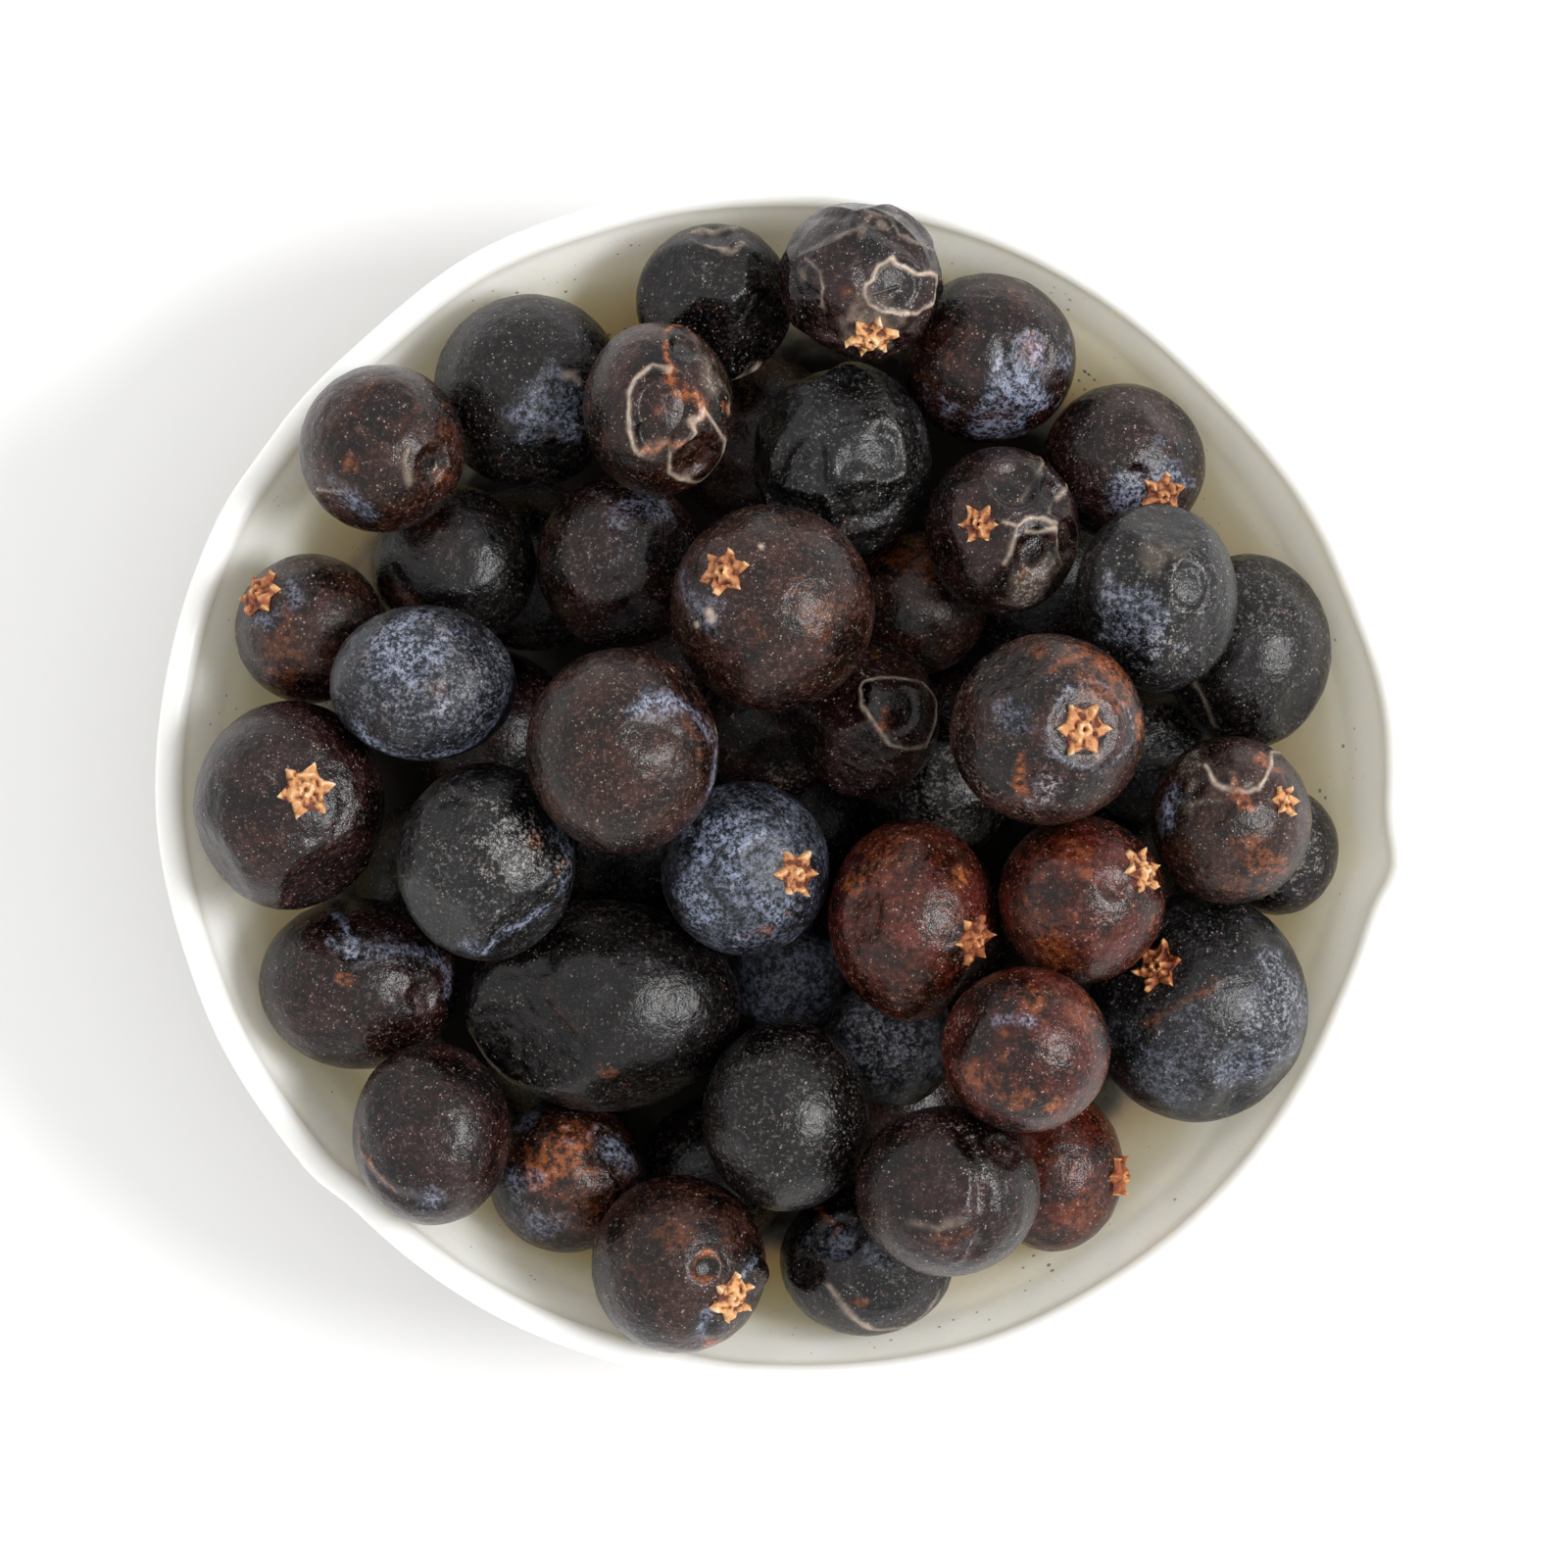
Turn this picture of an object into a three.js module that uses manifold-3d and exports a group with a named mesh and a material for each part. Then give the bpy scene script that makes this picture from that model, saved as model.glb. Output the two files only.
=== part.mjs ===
// A small handmade bowl of glazed porcelain, heaped with dried juniper berries.
// Millimetres, +Z up. The origin is in the middle of the flat foot that the bowl stands on.
import * as THREE from "three";
import { mergeVertices } from "three/addons/utils/BufferGeometryUtils.js";
import Module from "manifold-3d";

const wasm = await Module();
wasm.setup();

// The bowl
const LIP_HEIGHT = 18; // where the wall ends and the rounded lip begins
const LIP_THICKNESS = 1.3;
const MEAN_RADIUS = 27.9; // outer, at the lip
const OUTER_DEPTH = 19.7; // the outer curve would end this far below the lip, and the foot cuts it off
const INNER_DEPTH = 15.8;
const CURVE_RISE = 60; // each wall is part of an oval whose widest level is this far above the lip
const COLUMNS = 60; // facets round the bowl
const WALL_STEPS = 8;
const LIP_STEPS = 4;
const FIRST_COLUMN = 4.5; // degrees, which puts one column on the pinched nub
const NUB_ANGLE = -7.5;
const NUB_WIDTH = 3;
const NUB_REACH = 0.65;
const LIP_WAVE = 0.3; // how far the lip rises and falls on its way round

// The outline of the lip as the hand left it: the angle from +X in degrees, and the radius there.
const OUTLINE = [
  [5, 28.62], [22, 28.04], [46, 27.42], [69, 27.53], [89, 27.47], [107, 27.6], [121, 27.91],
  [132, 27.76], [145, 28.04], [155, 28.34], [167, 28.36], [181, 28.44], [200, 28.09], [219, 27.73],
  [225, 27.33], [240, 27.35], [256, 27.24], [267, 27.47], [295, 27.95], [322, 28.18], [336, 28.13],
  [349, 28.4], [365, 28.62],
];

// The heap
const HEAP_RIGHT = 0.25; // its places are measured from here, a little right of the outline's middle
const GAP = 0.15; // between a berry and whatever it rests on
const WALL_GAP = 0.2; // sideways, between a berry and the wall
const EASE_STEP = 0.12; // a berry may roll this far at a time towards a lower place
const EASE_LIMIT = 0.24;
const LUMPS = 0.004; // height of each of the low swells in the skin, as a fraction of the radius
const LUMP_WAVES = 4; // swells that cross one another on each berry
const LUMP_TURNS = 1.6; // how closely their crests follow one another
const FOLD_BLEND = 0.05; // how softly a flat side runs into the round skin, as a fraction of the radius
const NET_RIDGE = 0.35; // how far a wrinkle's ridge slopes to its hollows, in radians of the skin

// The scar of three fused scales at a berry's tip: a six-pointed star
const STAR_POINTS = 6;
const STAR_NOTCH = 0.58; // radius between two points, as a fraction of the radius at the points
const STAR_UNEVEN = 0.16; // how much one point may be longer than another
const STAR_PROUD = 0.22; // how far it stands out of the skin
const STAR_ROOT = 0.75; // how deep its solid is sunk below the skin

// Smoothness of a berry's solid: how often each face of an icosahedron is divided
const HIDDEN = 1;
const PLAIN = 2;
const SHAPED = 3;
const CRUMPLED = 4;

const BLACK = { color: 0x1d1a1c, roughness: 0.6 };
const SLATE = { color: 0x24272d, roughness: 0.7 };
const BLUE = { color: 0x2c3444, roughness: 0.75 };
const PLUM = { color: 0x2b1c20, roughness: 0.55 };
const BROWN = { color: 0x33221b, roughness: 0.6 };
const RED = { color: 0x45201a, roughness: 0.45 };
const GLAZE = { color: 0xf1efe8, roughness: 0.25 };

// Marks on a berry. A place is given as it shows from above, right and up from the middle of the
// berry in fractions of its radius. Widths are in radians of the skin, depths in fractions of the radius.
const dent = (right, up, width, depth, edge = 0.7) => ({ kind: "dent", right, up, width, depth, edge });
const flat = (right, up, distance) => ({ kind: "flat", right, up, distance });
const crease = (from, to, width, depth) => ({ kind: "crease", from, to, width, depth });
const net = (cells, depth, seed) => ({ kind: "net", cells, depth, seed });
const bump = (right, up, width, height) => dent(right, up, width, -height, 1);
const star = (right, up, radius = 1.3, turn = 0) => ({ right, up, radius, turn });

// The berries from the bottom of the bowl to the top: place over the floor, size [X, Y, Z], smoothness,
// colour, marks, and the star where it shows.
const HEAP = [
  // the layer on the floor of the bowl, which the rest lie on
  { name: "berry_45", at: [0.6, -0.4], size: [7.9, 7.7, 7.1], smooth: HIDDEN, colour: BLACK, marks: [] },
  { name: "berry_46", at: [8.6, 1.6], size: [7.8, 7.9, 7.2], smooth: HIDDEN, colour: PLUM, marks: [] },
  { name: "berry_47", at: [3.8, 8.0], size: [7.9, 7.7, 7.0], smooth: HIDDEN, colour: BLACK, marks: [] },
  { name: "berry_48", at: [-4.9, 6.6], size: [8.0, 7.9, 7.2], smooth: HIDDEN, colour: BROWN, marks: [] },
  { name: "berry_49", at: [-7.9, -2.4], size: [7.9, 8.1, 7.1], smooth: HIDDEN, colour: BLACK, marks: [] },
  { name: "berry_50", at: [-2.0, -8.6], size: [7.9, 8.0, 7.2], smooth: HIDDEN, colour: BROWN, marks: [] },
  { name: "berry_51", at: [6.6, -6.6], size: [8.0, 7.8, 7.2], smooth: HIDDEN, colour: PLUM, marks: [] },
  { name: "berry_52", at: [14.3, -4.4], size: [7.7, 7.9, 7.1], smooth: HIDDEN, colour: BLACK, marks: [] },
  { name: "berry_53", at: [11.3, 9.9], size: [8.1, 7.9, 7.2], smooth: HIDDEN, colour: BLACK, marks: [] },
  { name: "berry_54", at: [-1.4, 16.0], size: [7.9, 8.0, 7.2], smooth: HIDDEN, colour: BROWN, marks: [] },
  { name: "berry_55", at: [-11.8, 10.2], size: [7.9, 7.8, 7.1], smooth: HIDDEN, colour: BLACK, marks: [] },
  { name: "berry_56", at: [-13.6, 2.6], size: [7.4, 7.6, 7.0], smooth: HIDDEN, colour: PLUM, marks: [] },
  { name: "berry_57", at: [-16.2, -4.2], size: [7.4, 7.6, 7.0], smooth: HIDDEN, colour: BLACK, marks: [] },
  { name: "berry_58", at: [4.8, -14.8], size: [7.9, 7.8, 7.2], smooth: HIDDEN, colour: BROWN, marks: [] },
  { name: "berry_59", at: [-10.0, -12.0], size: [8.1, 7.9, 7.3], smooth: HIDDEN, colour: BLACK, marks: [] },

  // berries of the second layer, seen only through gaps in the top one
  { name: "berry_30", at: [7.1, 0.1], size: [6.8, 6.6, 6.4], smooth: PLAIN, colour: BLACK,
    marks: [net(16, 0.04, 5)] },
  { name: "berry_20", at: [-0.8, 2.7], size: [6.8, 6.6, 6.4], smooth: PLAIN, colour: BROWN,
    marks: [flat(0.1, -0.5, 0.9)] },
  { name: "berry_33", at: [-0.3, -8.8], size: [5.7, 5.5, 5.4], smooth: PLAIN, colour: SLATE, marks: [] },
  { name: "berry_36", at: [4.6, -11.7], size: [6.0, 6.2, 5.8], smooth: PLAIN, colour: SLATE,
    marks: [net(14, 0.05, 3)] },
  { name: "berry_44", at: [-3.4, -17.8], size: [7.0, 6.8, 6.5], smooth: PLAIN, colour: BLACK, marks: [] },
  { name: "berry_23", at: [16.3, 1.2], size: [6.4, 6.2, 6.0], smooth: PLAIN, colour: SLATE,
    marks: [flat(0.3, 0.3, 0.9)] },
  { name: "berry_11", at: [20.8, 5.9], size: [7.5, 8.8, 7.4], smooth: SHAPED, colour: BLACK,
    marks: [dent(0.6, -0.6, 0.4, 0.06, 0.6), dent(-0.55, -0.5, 0.4, 0.04), flat(0.6, 0.7, 0.95)] },
  { name: "berry_25", at: [22.4, -3.0], size: [5.7, 5.9, 5.6], smooth: PLAIN, colour: BLACK, marks: [] },
  { name: "berry_15", at: [6.0, 8.4], size: [6.6, 6.6, 6.3], smooth: PLAIN, colour: BROWN,
    marks: [dent(0.1, 0.05, 0.5, 0.03, 1)] },

  // berries against the wall and in the hollows of the pile
  { name: "berry_12", at: [-14.9, 10.0], size: [7.5, 7.3, 7.0], smooth: PLAIN, colour: BLACK,
    marks: [flat(0.02, 0.05, 0.93), crease([-0.7, -0.1], [-0.3, -0.62], 0.09, 0.03)] },
  { name: "berry_31", at: [-19.6, -9.0], size: [9.2, 7.8, 7.8], smooth: SHAPED, colour: PLUM,
    marks: [dent(0.64, -0.14, 0.26, 0.05), crease([-0.15, 0.95], [-0.06, 0.22], 0.12, 0.06),
      flat(-0.35, -0.5, 0.95)] },
  { name: "berry_34", at: [18.8, -10.0], size: [10.0, 10.4, 8.4], smooth: SHAPED, colour: SLATE,
    marks: [dent(-0.5, 0.38, 0.55, 0.12, 0.9), crease([0.4, -0.86], [0.36, -0.5], 0.2, 0.16),
      flat(0.68, -0.68, 0.95)],
    star: star(-0.43, 0.4, 1.2, 10) },
  { name: "berry_03", at: [-3.4, 22.1], size: [7.1, 7.2, 6.9], smooth: SHAPED, colour: BLACK,
    marks: [flat(-0.62, 0.1, 0.78), flat(0.05, 0.32, 0.84), flat(0.72, 0.2, 0.86),
      flat(-0.1, -0.55, 0.7), flat(0.62, -0.45, 0.72), dent(0.0, 0.85, 0.3, 0.1, 0.5)] },
  { name: "berry_02", at: [-11.8, 18.1], size: [8.7, 8.8, 8.0], smooth: PLAIN, colour: BLACK,
    marks: [dent(0.36, -0.1, 0.4, 0.05), flat(0.1, -0.7, 0.93)] },
  { name: "berry_16", at: [-21.4, 7.2], size: [6.8, 6.8, 6.8], smooth: PLAIN, colour: BROWN, marks: [],
    star: star(-0.66, 0.46, 1.25, 5) },
  { name: "berry_38", at: [-10.1, -17.9], size: [7.2, 7.0, 7.0], smooth: PLAIN, colour: BROWN,
    marks: [flat(0.5, 0.3, 0.93)] },
  { name: "berry_43", at: [3.7, -21.7], size: [7.9, 6.9, 7.0], smooth: SHAPED, colour: BLACK,
    marks: [dent(-0.35, 0.35, 0.4, 0.09, 0.5), dent(0.15, -0.2, 0.5, 0.06, 0.4),
      dent(-0.75, -0.1, 0.35, 0.08)] },
  { name: "berry_42", at: [12.0, -17.6], size: [6.5, 7.5, 6.8], smooth: PLAIN, colour: RED, marks: [],
    star: star(0.93, -0.08, 1.1, 0) },
  { name: "berry_06", at: [15.4, 14.8], size: [7.4, 7.2, 7.2], smooth: PLAIN, colour: PLUM,
    marks: [dent(0.15, -0.15, 0.16, 0.05), flat(0.6, 0.6, 0.92)], star: star(0.46, -0.42, 1.3, 20) },
  { name: "berry_05", at: [9.2, 19.6], size: [7.9, 7.7, 7.2], smooth: PLAIN, colour: PLUM,
    marks: [dent(0.55, 0.0, 0.36, 0.05, 0.5), crease([0.14, 0.1], [0.16, -0.28], 0.1, 0.05)] },
  { name: "berry_13", at: [-7.8, 10.0], size: [7.6, 7.8, 7.2], smooth: PLAIN, colour: PLUM,
    marks: [dent(-0.18, 0.1, 0.6, 0.05, 0.4), flat(0.7, 0.1, 0.9)] },

  // the top of the heap
  { name: "berry_18", at: [-22.5, -0.6], size: [8.6, 9.4, 8.4], smooth: SHAPED, colour: PLUM,
    marks: [dent(0.25, 0.05, 0.6, 0.035, 0.4), flat(0.45, -0.75, 0.86), flat(-0.78, -0.55, 0.93)],
    star: star(0.2, 0.14, 1.4, 12) },
  { name: "berry_32", at: [-8.6, -10.1], size: [12.4, 9.6, 8.4], smooth: SHAPED, colour: BLACK,
    marks: [dent(-0.1, 0.14, 0.36, 0.07, 0.5), flat(-0.6, -0.25, 0.8),
      crease([-0.5, 0.3], [-0.34, -0.3], 0.14, 0.1), dent(-0.72, 0.08, 0.3, 0.09, 0.5),
      flat(0.3, -0.8, 0.93)] },
  { name: "berry_10", at: [16.8, 8.4], size: [7.4, 8.5, 7.2], smooth: SHAPED, colour: SLATE,
    marks: [dent(0.38, 0.12, 0.3, 0.06, 0.4), flat(-0.3, 0.3, 0.86), flat(-0.5, -0.5, 0.9),
      flat(0.5, -0.6, 0.88), flat(0.1, 0.85, 0.86)] },
  { name: "berry_26", at: [-13.4, -3.6], size: [8.1, 9.0, 7.8], smooth: SHAPED, colour: SLATE,
    marks: [dent(-0.42, 0.5, 0.38, 0.06, 0.4), dent(-0.15, -0.25, 0.5, 0.06, 0.3),
      dent(0.45, 0.1, 0.44, 0.06, 0.3), flat(-0.5, -0.65, 0.86), flat(0.5, -0.72, 0.84),
      flat(0.75, 0.4, 0.88)] },
  { name: "berry_27", at: [-2.1, -3.9], size: [7.6, 7.9, 7.4], smooth: SHAPED, colour: BLUE,
    marks: [crease([-0.65, 0.42], [-0.1, -0.12], 0.12, 0.05),
      crease([-0.1, -0.12], [0.1, -0.6], 0.12, 0.05), dent(0.25, 0.1, 0.35, 0.04, 0.5)],
    star: star(0.62, -0.06, 1.2, 0) },
  { name: "berry_19", at: [-7.6, 1.5], size: [8.7, 9.2, 8.4], smooth: PLAIN, colour: BROWN,
    marks: [dent(0.28, 0.26, 0.4, 0.05, 0.8), flat(0.8, 0.5, 0.93)] },
  { name: "berry_08", at: [2.6, 15.0], size: [8.1, 9.0, 8.2], smooth: SHAPED, colour: SLATE,
    marks: [net(22, 0.075, 8), dent(0.5, 0.06, 0.34, 0.08, 0.5), flat(-0.1, 0.5, 0.88)] },
  { name: "berry_17", at: [-16.6, 4.7], size: [8.4, 7.0, 7.2], smooth: SHAPED, colour: BLUE,
    marks: [dent(-0.05, 0.2, 0.66, 0.05, 0.35), flat(-0.7, -0.4, 0.9), flat(0.72, 0.5, 0.9)] },
  { name: "berry_01", at: [-18.1, 15.1], size: [7.5, 7.6, 7.4], smooth: SHAPED, colour: BROWN,
    marks: [dent(0.02, 0.42, 0.42, 0.05, 0.5), dent(0.62, -0.2, 0.26, 0.1, 0.5), flat(-0.5, -0.72, 0.93)] },
  { name: "berry_37", at: [-16.2, -15.6], size: [7.2, 8.3, 7.4], smooth: SHAPED, colour: PLUM,
    marks: [flat(-0.4, 0.5, 0.88), flat(0.05, 0.05, 0.96), crease([-0.7, -0.5], [0.1, -0.75], 0.12, 0.04)] },
  { name: "berry_40", at: [-5.0, -21.6], size: [8.0, 8.1, 7.8], smooth: SHAPED, colour: BROWN,
    marks: [dent(0.3, -0.03, 0.2, 0.07, 0.6), bump(0.93, -0.1, 0.28, 0.1),
      crease([0.3, -0.5], [0.25, -0.85], 0.14, 0.04)],
    star: star(0.62, -0.36, 1.3, 25) },
  { name: "berry_07", at: [-5.9, 17.2], size: [6.8, 7.9, 7.2], smooth: CRUMPLED, colour: BROWN,
    marks: [dent(0.08, 0.0, 0.5, 0.16, 0.3), dent(0.52, -0.58, 0.34, 0.1, 0.4),
      dent(0.36, 0.7, 0.24, 0.07, 0.5), dent(-0.02, -0.32, 0.34, 0.16, 0.3)] },
  { name: "berry_04", at: [3.4, 22.7], size: [7.4, 7.2, 7.0], smooth: CRUMPLED, colour: PLUM,
    marks: [net(26, 0.05, 4), dent(0.45, -0.12, 0.44, 0.09, 0.3), dent(-0.7, 0.0, 0.4, 0.06, 0.4)],
    star: star(0.12, -0.76, 1.25, 10) },
  { name: "berry_09", at: [9.9, 11.6], size: [7.0, 7.6, 7.2], smooth: CRUMPLED, colour: PLUM,
    marks: [dent(0.14, 0.56, 0.38, 0.12, 0.4), dent(0.7, 0.42, 0.3, 0.14, 0.4),
      dent(0.45, -0.3, 0.36, 0.09, 0.4), dent(0.86, -0.1, 0.3, 0.08, 0.4),
      dent(-0.32, 0.06, 0.4, 0.05, 0.5)],
    star: star(-0.32, 0.06, 0.95, 0) },
  { name: "berry_24", at: [20.2, -1.6], size: [7.3, 7.6, 7.2], smooth: PLAIN, colour: BROWN,
    marks: [dent(-0.3, 0.25, 0.4, 0.05, 0.4), crease([-0.75, 0.1], [0.25, 0.35], 0.1, 0.06)],
    star: star(0.63, 0.23, 0.75, 0) },
  { name: "berry_21", at: [3.6, 3.2], size: [6.9, 7.2, 7.0], smooth: CRUMPLED, colour: PLUM,
    marks: [dent(0.42, 0.18, 0.46, 0.09, 0.3), flat(-0.5, 0.35, 0.74), flat(-0.15, -0.6, 0.78),
      flat(0.25, 0.8, 0.8), flat(-0.8, -0.35, 0.8), dent(0.55, -0.62, 0.3, 0.06, 0.5)] },
  { name: "berry_28", at: [5.4, -6.1], size: [7.6, 9.1, 7.8], smooth: SHAPED, colour: RED,
    marks: [dent(-0.6, 0.06, 0.36, 0.07, 0.5), bump(-0.08, -0.94, 0.5, 0.05), flat(0.8, -0.6, 0.85)],
    star: star(0.74, -0.2, 1.25, 8) },
  { name: "berry_29", at: [13.0, -5.2], size: [7.5, 7.6, 7.4], smooth: PLAIN, colour: RED,
    marks: [dent(-0.32, 0.16, 0.34, 0.06, 0.4), dent(0.38, 0.18, 0.26, 0.05, 0.8)],
    star: star(0.72, 0.36, 1.15, 15) },
  { name: "berry_22", at: [11.8, 2.7], size: [8.8, 8.6, 8.2], smooth: SHAPED, colour: BROWN,
    marks: [dent(0.38, 0.0, 0.44, 0.05, 0.35), dent(-0.4, 0.09, 0.26, 0.09, 0.6),
      dent(-0.06, -0.66, 0.34, 0.07, 0.6), flat(-0.45, 0.7, 0.88)],
    star: star(0.37, 0.0, 1.35, 0) },
  { name: "berry_39", at: [0.1, -14.7], size: [7.6, 8.6, 7.8], smooth: PLAIN, colour: BLACK,
    marks: [flat(-0.4, 0.3, 0.93)] },
  { name: "berry_41", at: [7.0, -18.3], size: [8.4, 7.7, 7.6], smooth: SHAPED, colour: PLUM,
    marks: [dent(-0.26, 0.12, 0.56, 0.05, 0.4), crease([0.24, 0.62], [0.3, -0.7], 0.1, 0.07),
      dent(0.62, 0.5, 0.3, 0.06, 0.5)] },
  { name: "berry_35", at: [10.6, -11.9], size: [7.6, 7.5, 7.2], smooth: SHAPED, colour: RED,
    marks: [dent(-0.34, 0.08, 0.42, 0.06, 0.4), flat(-0.85, 0.3, 0.9)] },
  { name: "berry_14", at: [-0.6, 7.8], size: [9.2, 9.3, 9.0], smooth: PLAIN, colour: BROWN, marks: [],
    star: star(-0.47, 0.33, 1.3, 15) },
];

const RADIAN = Math.PI / 180;
const UP = new THREE.Vector3(0, 0, 1);
const smooth = (value) => THREE.MathUtils.smoothstep(value, 0, 1);

// A seeded draw between 0 and 1.
function chance(seed, draw) {
  const spread = Math.sin(seed * 127.1 + draw * 311.7) * 43758.5453;
  return spread - Math.floor(spread);
}

// Bowl: the lip's outer radius at an angle, which eases from one outline point to the next.
function lipRadius(degrees) {
  const angle = THREE.MathUtils.euclideanModulo(degrees - OUTLINE[0][0], 360) + OUTLINE[0][0];
  const next = OUTLINE.findIndex(([at]) => at >= angle);
  const [toAngle, toRadius] = OUTLINE[Math.max(next, 1)];
  const [fromAngle, fromRadius] = OUTLINE[Math.max(next, 1) - 1];
  const share = smooth((angle - fromAngle) / (toAngle - fromAngle));
  const offNub = THREE.MathUtils.euclideanModulo(degrees - NUB_ANGLE + 180, 360) - 180;
  const nub = NUB_REACH * Math.exp(-((offNub / NUB_WIDTH) ** 2));
  return THREE.MathUtils.lerp(fromRadius, toRadius, share) + nub;
}

// How much wider than a round bowl the wall is at an angle and a height: the waver fades to the foot.
function waver(degrees, height) {
  const risen = Math.max(height, 0) / LIP_HEIGHT;
  return 1 + (lipRadius(degrees) / MEAN_RADIUS - 1) * risen ** 1.5;
}

// How far the hand-pressed lip is raised at an angle.
function lipWave(degrees) {
  return LIP_WAVE * (Math.sin(2 * degrees * RADIAN + 0.6) + 0.5 * Math.sin(5 * degrees * RADIAN)) / 1.5;
}

// A wall's oval: its half height, its half width, and how far round it from its lowest point the lip is.
function wallOval(lipEnd, depth) {
  const tall = depth + CURVE_RISE;
  const lipTurn = Math.acos(CURVE_RISE / tall);
  return { tall, wide: lipEnd / Math.sin(lipTurn), lipTurn };
}

const INNER_LIP = MEAN_RADIUS - LIP_THICKNESS;
const OUTER_WALL = wallOval(MEAN_RADIUS, OUTER_DEPTH);
const INNER_WALL = wallOval(INNER_LIP, INNER_DEPTH);

// A wall's radius and height at a turn from its lowest point.
const wallPoint = ({ tall, wide }, turn) =>
  new THREE.Vector2(wide * Math.sin(turn), LIP_HEIGHT + CURVE_RISE - tall * Math.cos(turn));

// The bowl's section from the foot's middle up the outside, over the lip and down to the floor's middle.
function bowlSection() {
  const footTurn = Math.acos((LIP_HEIGHT + CURVE_RISE) / OUTER_WALL.tall);
  const section = [new THREE.Vector2(0, 0)];
  for (let step = 0; step <= WALL_STEPS; step++) {
    const turn = THREE.MathUtils.lerp(footTurn, OUTER_WALL.lipTurn, step / WALL_STEPS);
    section.push(wallPoint(OUTER_WALL, turn));
  }
  for (let step = 1; step < LIP_STEPS; step++) {
    const turn = step / LIP_STEPS * Math.PI;
    const half = LIP_THICKNESS / 2;
    const lip = new THREE.Vector2(half * Math.cos(turn), half * Math.sin(turn));
    section.push(lip.add(new THREE.Vector2(MEAN_RADIUS - half, LIP_HEIGHT)));
  }
  for (let step = WALL_STEPS; step >= 0; step--) {
    section.push(wallPoint(INNER_WALL, INNER_WALL.lipTurn * step / WALL_STEPS));
  }
  return section;
}

// A three.js geometry reduced to shared corners.
function shared(geometry) {
  geometry.deleteAttribute("normal");
  geometry.deleteAttribute("uv");
  return mergeVertices(geometry);
}

function bowlGeometry() {
  const lathe = new THREE.LatheGeometry(bowlSection(), COLUMNS, FIRST_COLUMN * RADIAN);
  const geometry = shared(lathe.rotateX(Math.PI / 2));
  const place = geometry.attributes.position;
  for (let i = 0; i < place.count; i++) {
    const [x, y, z] = [place.getX(i), place.getY(i), place.getZ(i)];
    const degrees = Math.atan2(y, x) / RADIAN;
    const wide = waver(degrees, z);
    place.setXYZ(i, x * wide, y * wide, z + lipWave(degrees) * (z / LIP_HEIGHT) ** 3);
  }
  return geometry;
}

// The height of the bowl's inside under a point, or of the lip where the point is over it.
function insideHeight(x, y) {
  const degrees = Math.atan2(y, x) / RADIAN;
  let height = LIP_HEIGHT;
  for (let round = 0; round < 6; round++) {
    const radius = (Math.hypot(x, y) + WALL_GAP) / waver(degrees, height);
    if (radius >= INNER_LIP) return LIP_HEIGHT + LIP_THICKNESS + LIP_WAVE;
    height = wallPoint(INNER_WALL, Math.asin(radius / INNER_WALL.wide)).y;
  }
  return height;
}

// The direction of a mark on the upper half of a berry.
function towards(right, up) {
  const flatLength = Math.min(Math.hypot(right, up), 1);
  return new THREE.Vector3(right, up, Math.sqrt(1 - flatLength ** 2)).normalize();
}

// Cell middles of a wrinkle net: points on a rising spiral, each moved a little by a seeded draw.
function netCells({ cells, seed }) {
  const golden = Math.PI * (3 - Math.sqrt(5));
  return Array.from({ length: cells }, (_, i) => {
    const z = 1 - 2 * (i + 0.5) / cells;
    const turn = golden * i + 0.9 * chance(seed, i);
    const ring = Math.sqrt(1 - z * z);
    const lift = 0.3 * (chance(seed, i + 60) - 0.5);
    return new THREE.Vector3(ring * Math.cos(turn), ring * Math.sin(turn), z + lift).normalize();
  });
}

// How far a mark sinks the skin in one direction.
function sunk(mark, direction) {
  if (mark.kind === "dent") {
    const off = direction.angleTo(mark.middle) / mark.width;
    return mark.depth * smooth((1 - off) / mark.edge);
  }
  if (mark.kind === "crease") {
    const along = new THREE.Line3(mark.start, mark.end);
    const nearest = along.closestPointToPoint(direction, true, new THREE.Vector3()).normalize();
    return mark.depth * Math.exp(-((direction.angleTo(nearest) / mark.width) ** 2));
  }
  const angles = mark.middles.map((middle) => direction.angleTo(middle)).sort((a, b) => a - b);
  return mark.depth * smooth((angles[1] - angles[0]) / NET_RIDGE);
}

// The skin's distance from the middle in one direction, as a fraction of the berry's half size:
// a sphere with low seeded lumps, sunk by its marks, with its flat sides cut and blended in.
function skin(berry, direction) {
  let lumps = 0;
  for (let wave = 0; wave < LUMP_WAVES; wave++) {
    const swing = [0, 1, 2].map((axis) => 4 * chance(berry.seed, wave * 4 + axis) - 2);
    const phase = 2 * Math.PI * chance(berry.seed, wave * 4 + 3);
    lumps += Math.sin(direction.dot(new THREE.Vector3(...swing)) * LUMP_TURNS + phase);
  }
  let reach = 1 + LUMPS * lumps;
  const depths = berry.marks.filter(({ kind }) => kind !== "flat").map((mark) => sunk(mark, direction));
  reach -= Math.max(0, ...depths) + Math.min(0, ...depths);
  for (const side of berry.marks.filter(({ kind }) => kind === "flat")) {
    const facing = direction.dot(side.middle);
    if (facing <= 0.2) continue;
    const cut = side.distance / facing;
    const blend = Math.max(FOLD_BLEND - Math.abs(reach - cut), 0) / FOLD_BLEND;
    reach = Math.min(reach, cut) - blend * blend * FOLD_BLEND / 4;
  }
  return reach;
}

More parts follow.
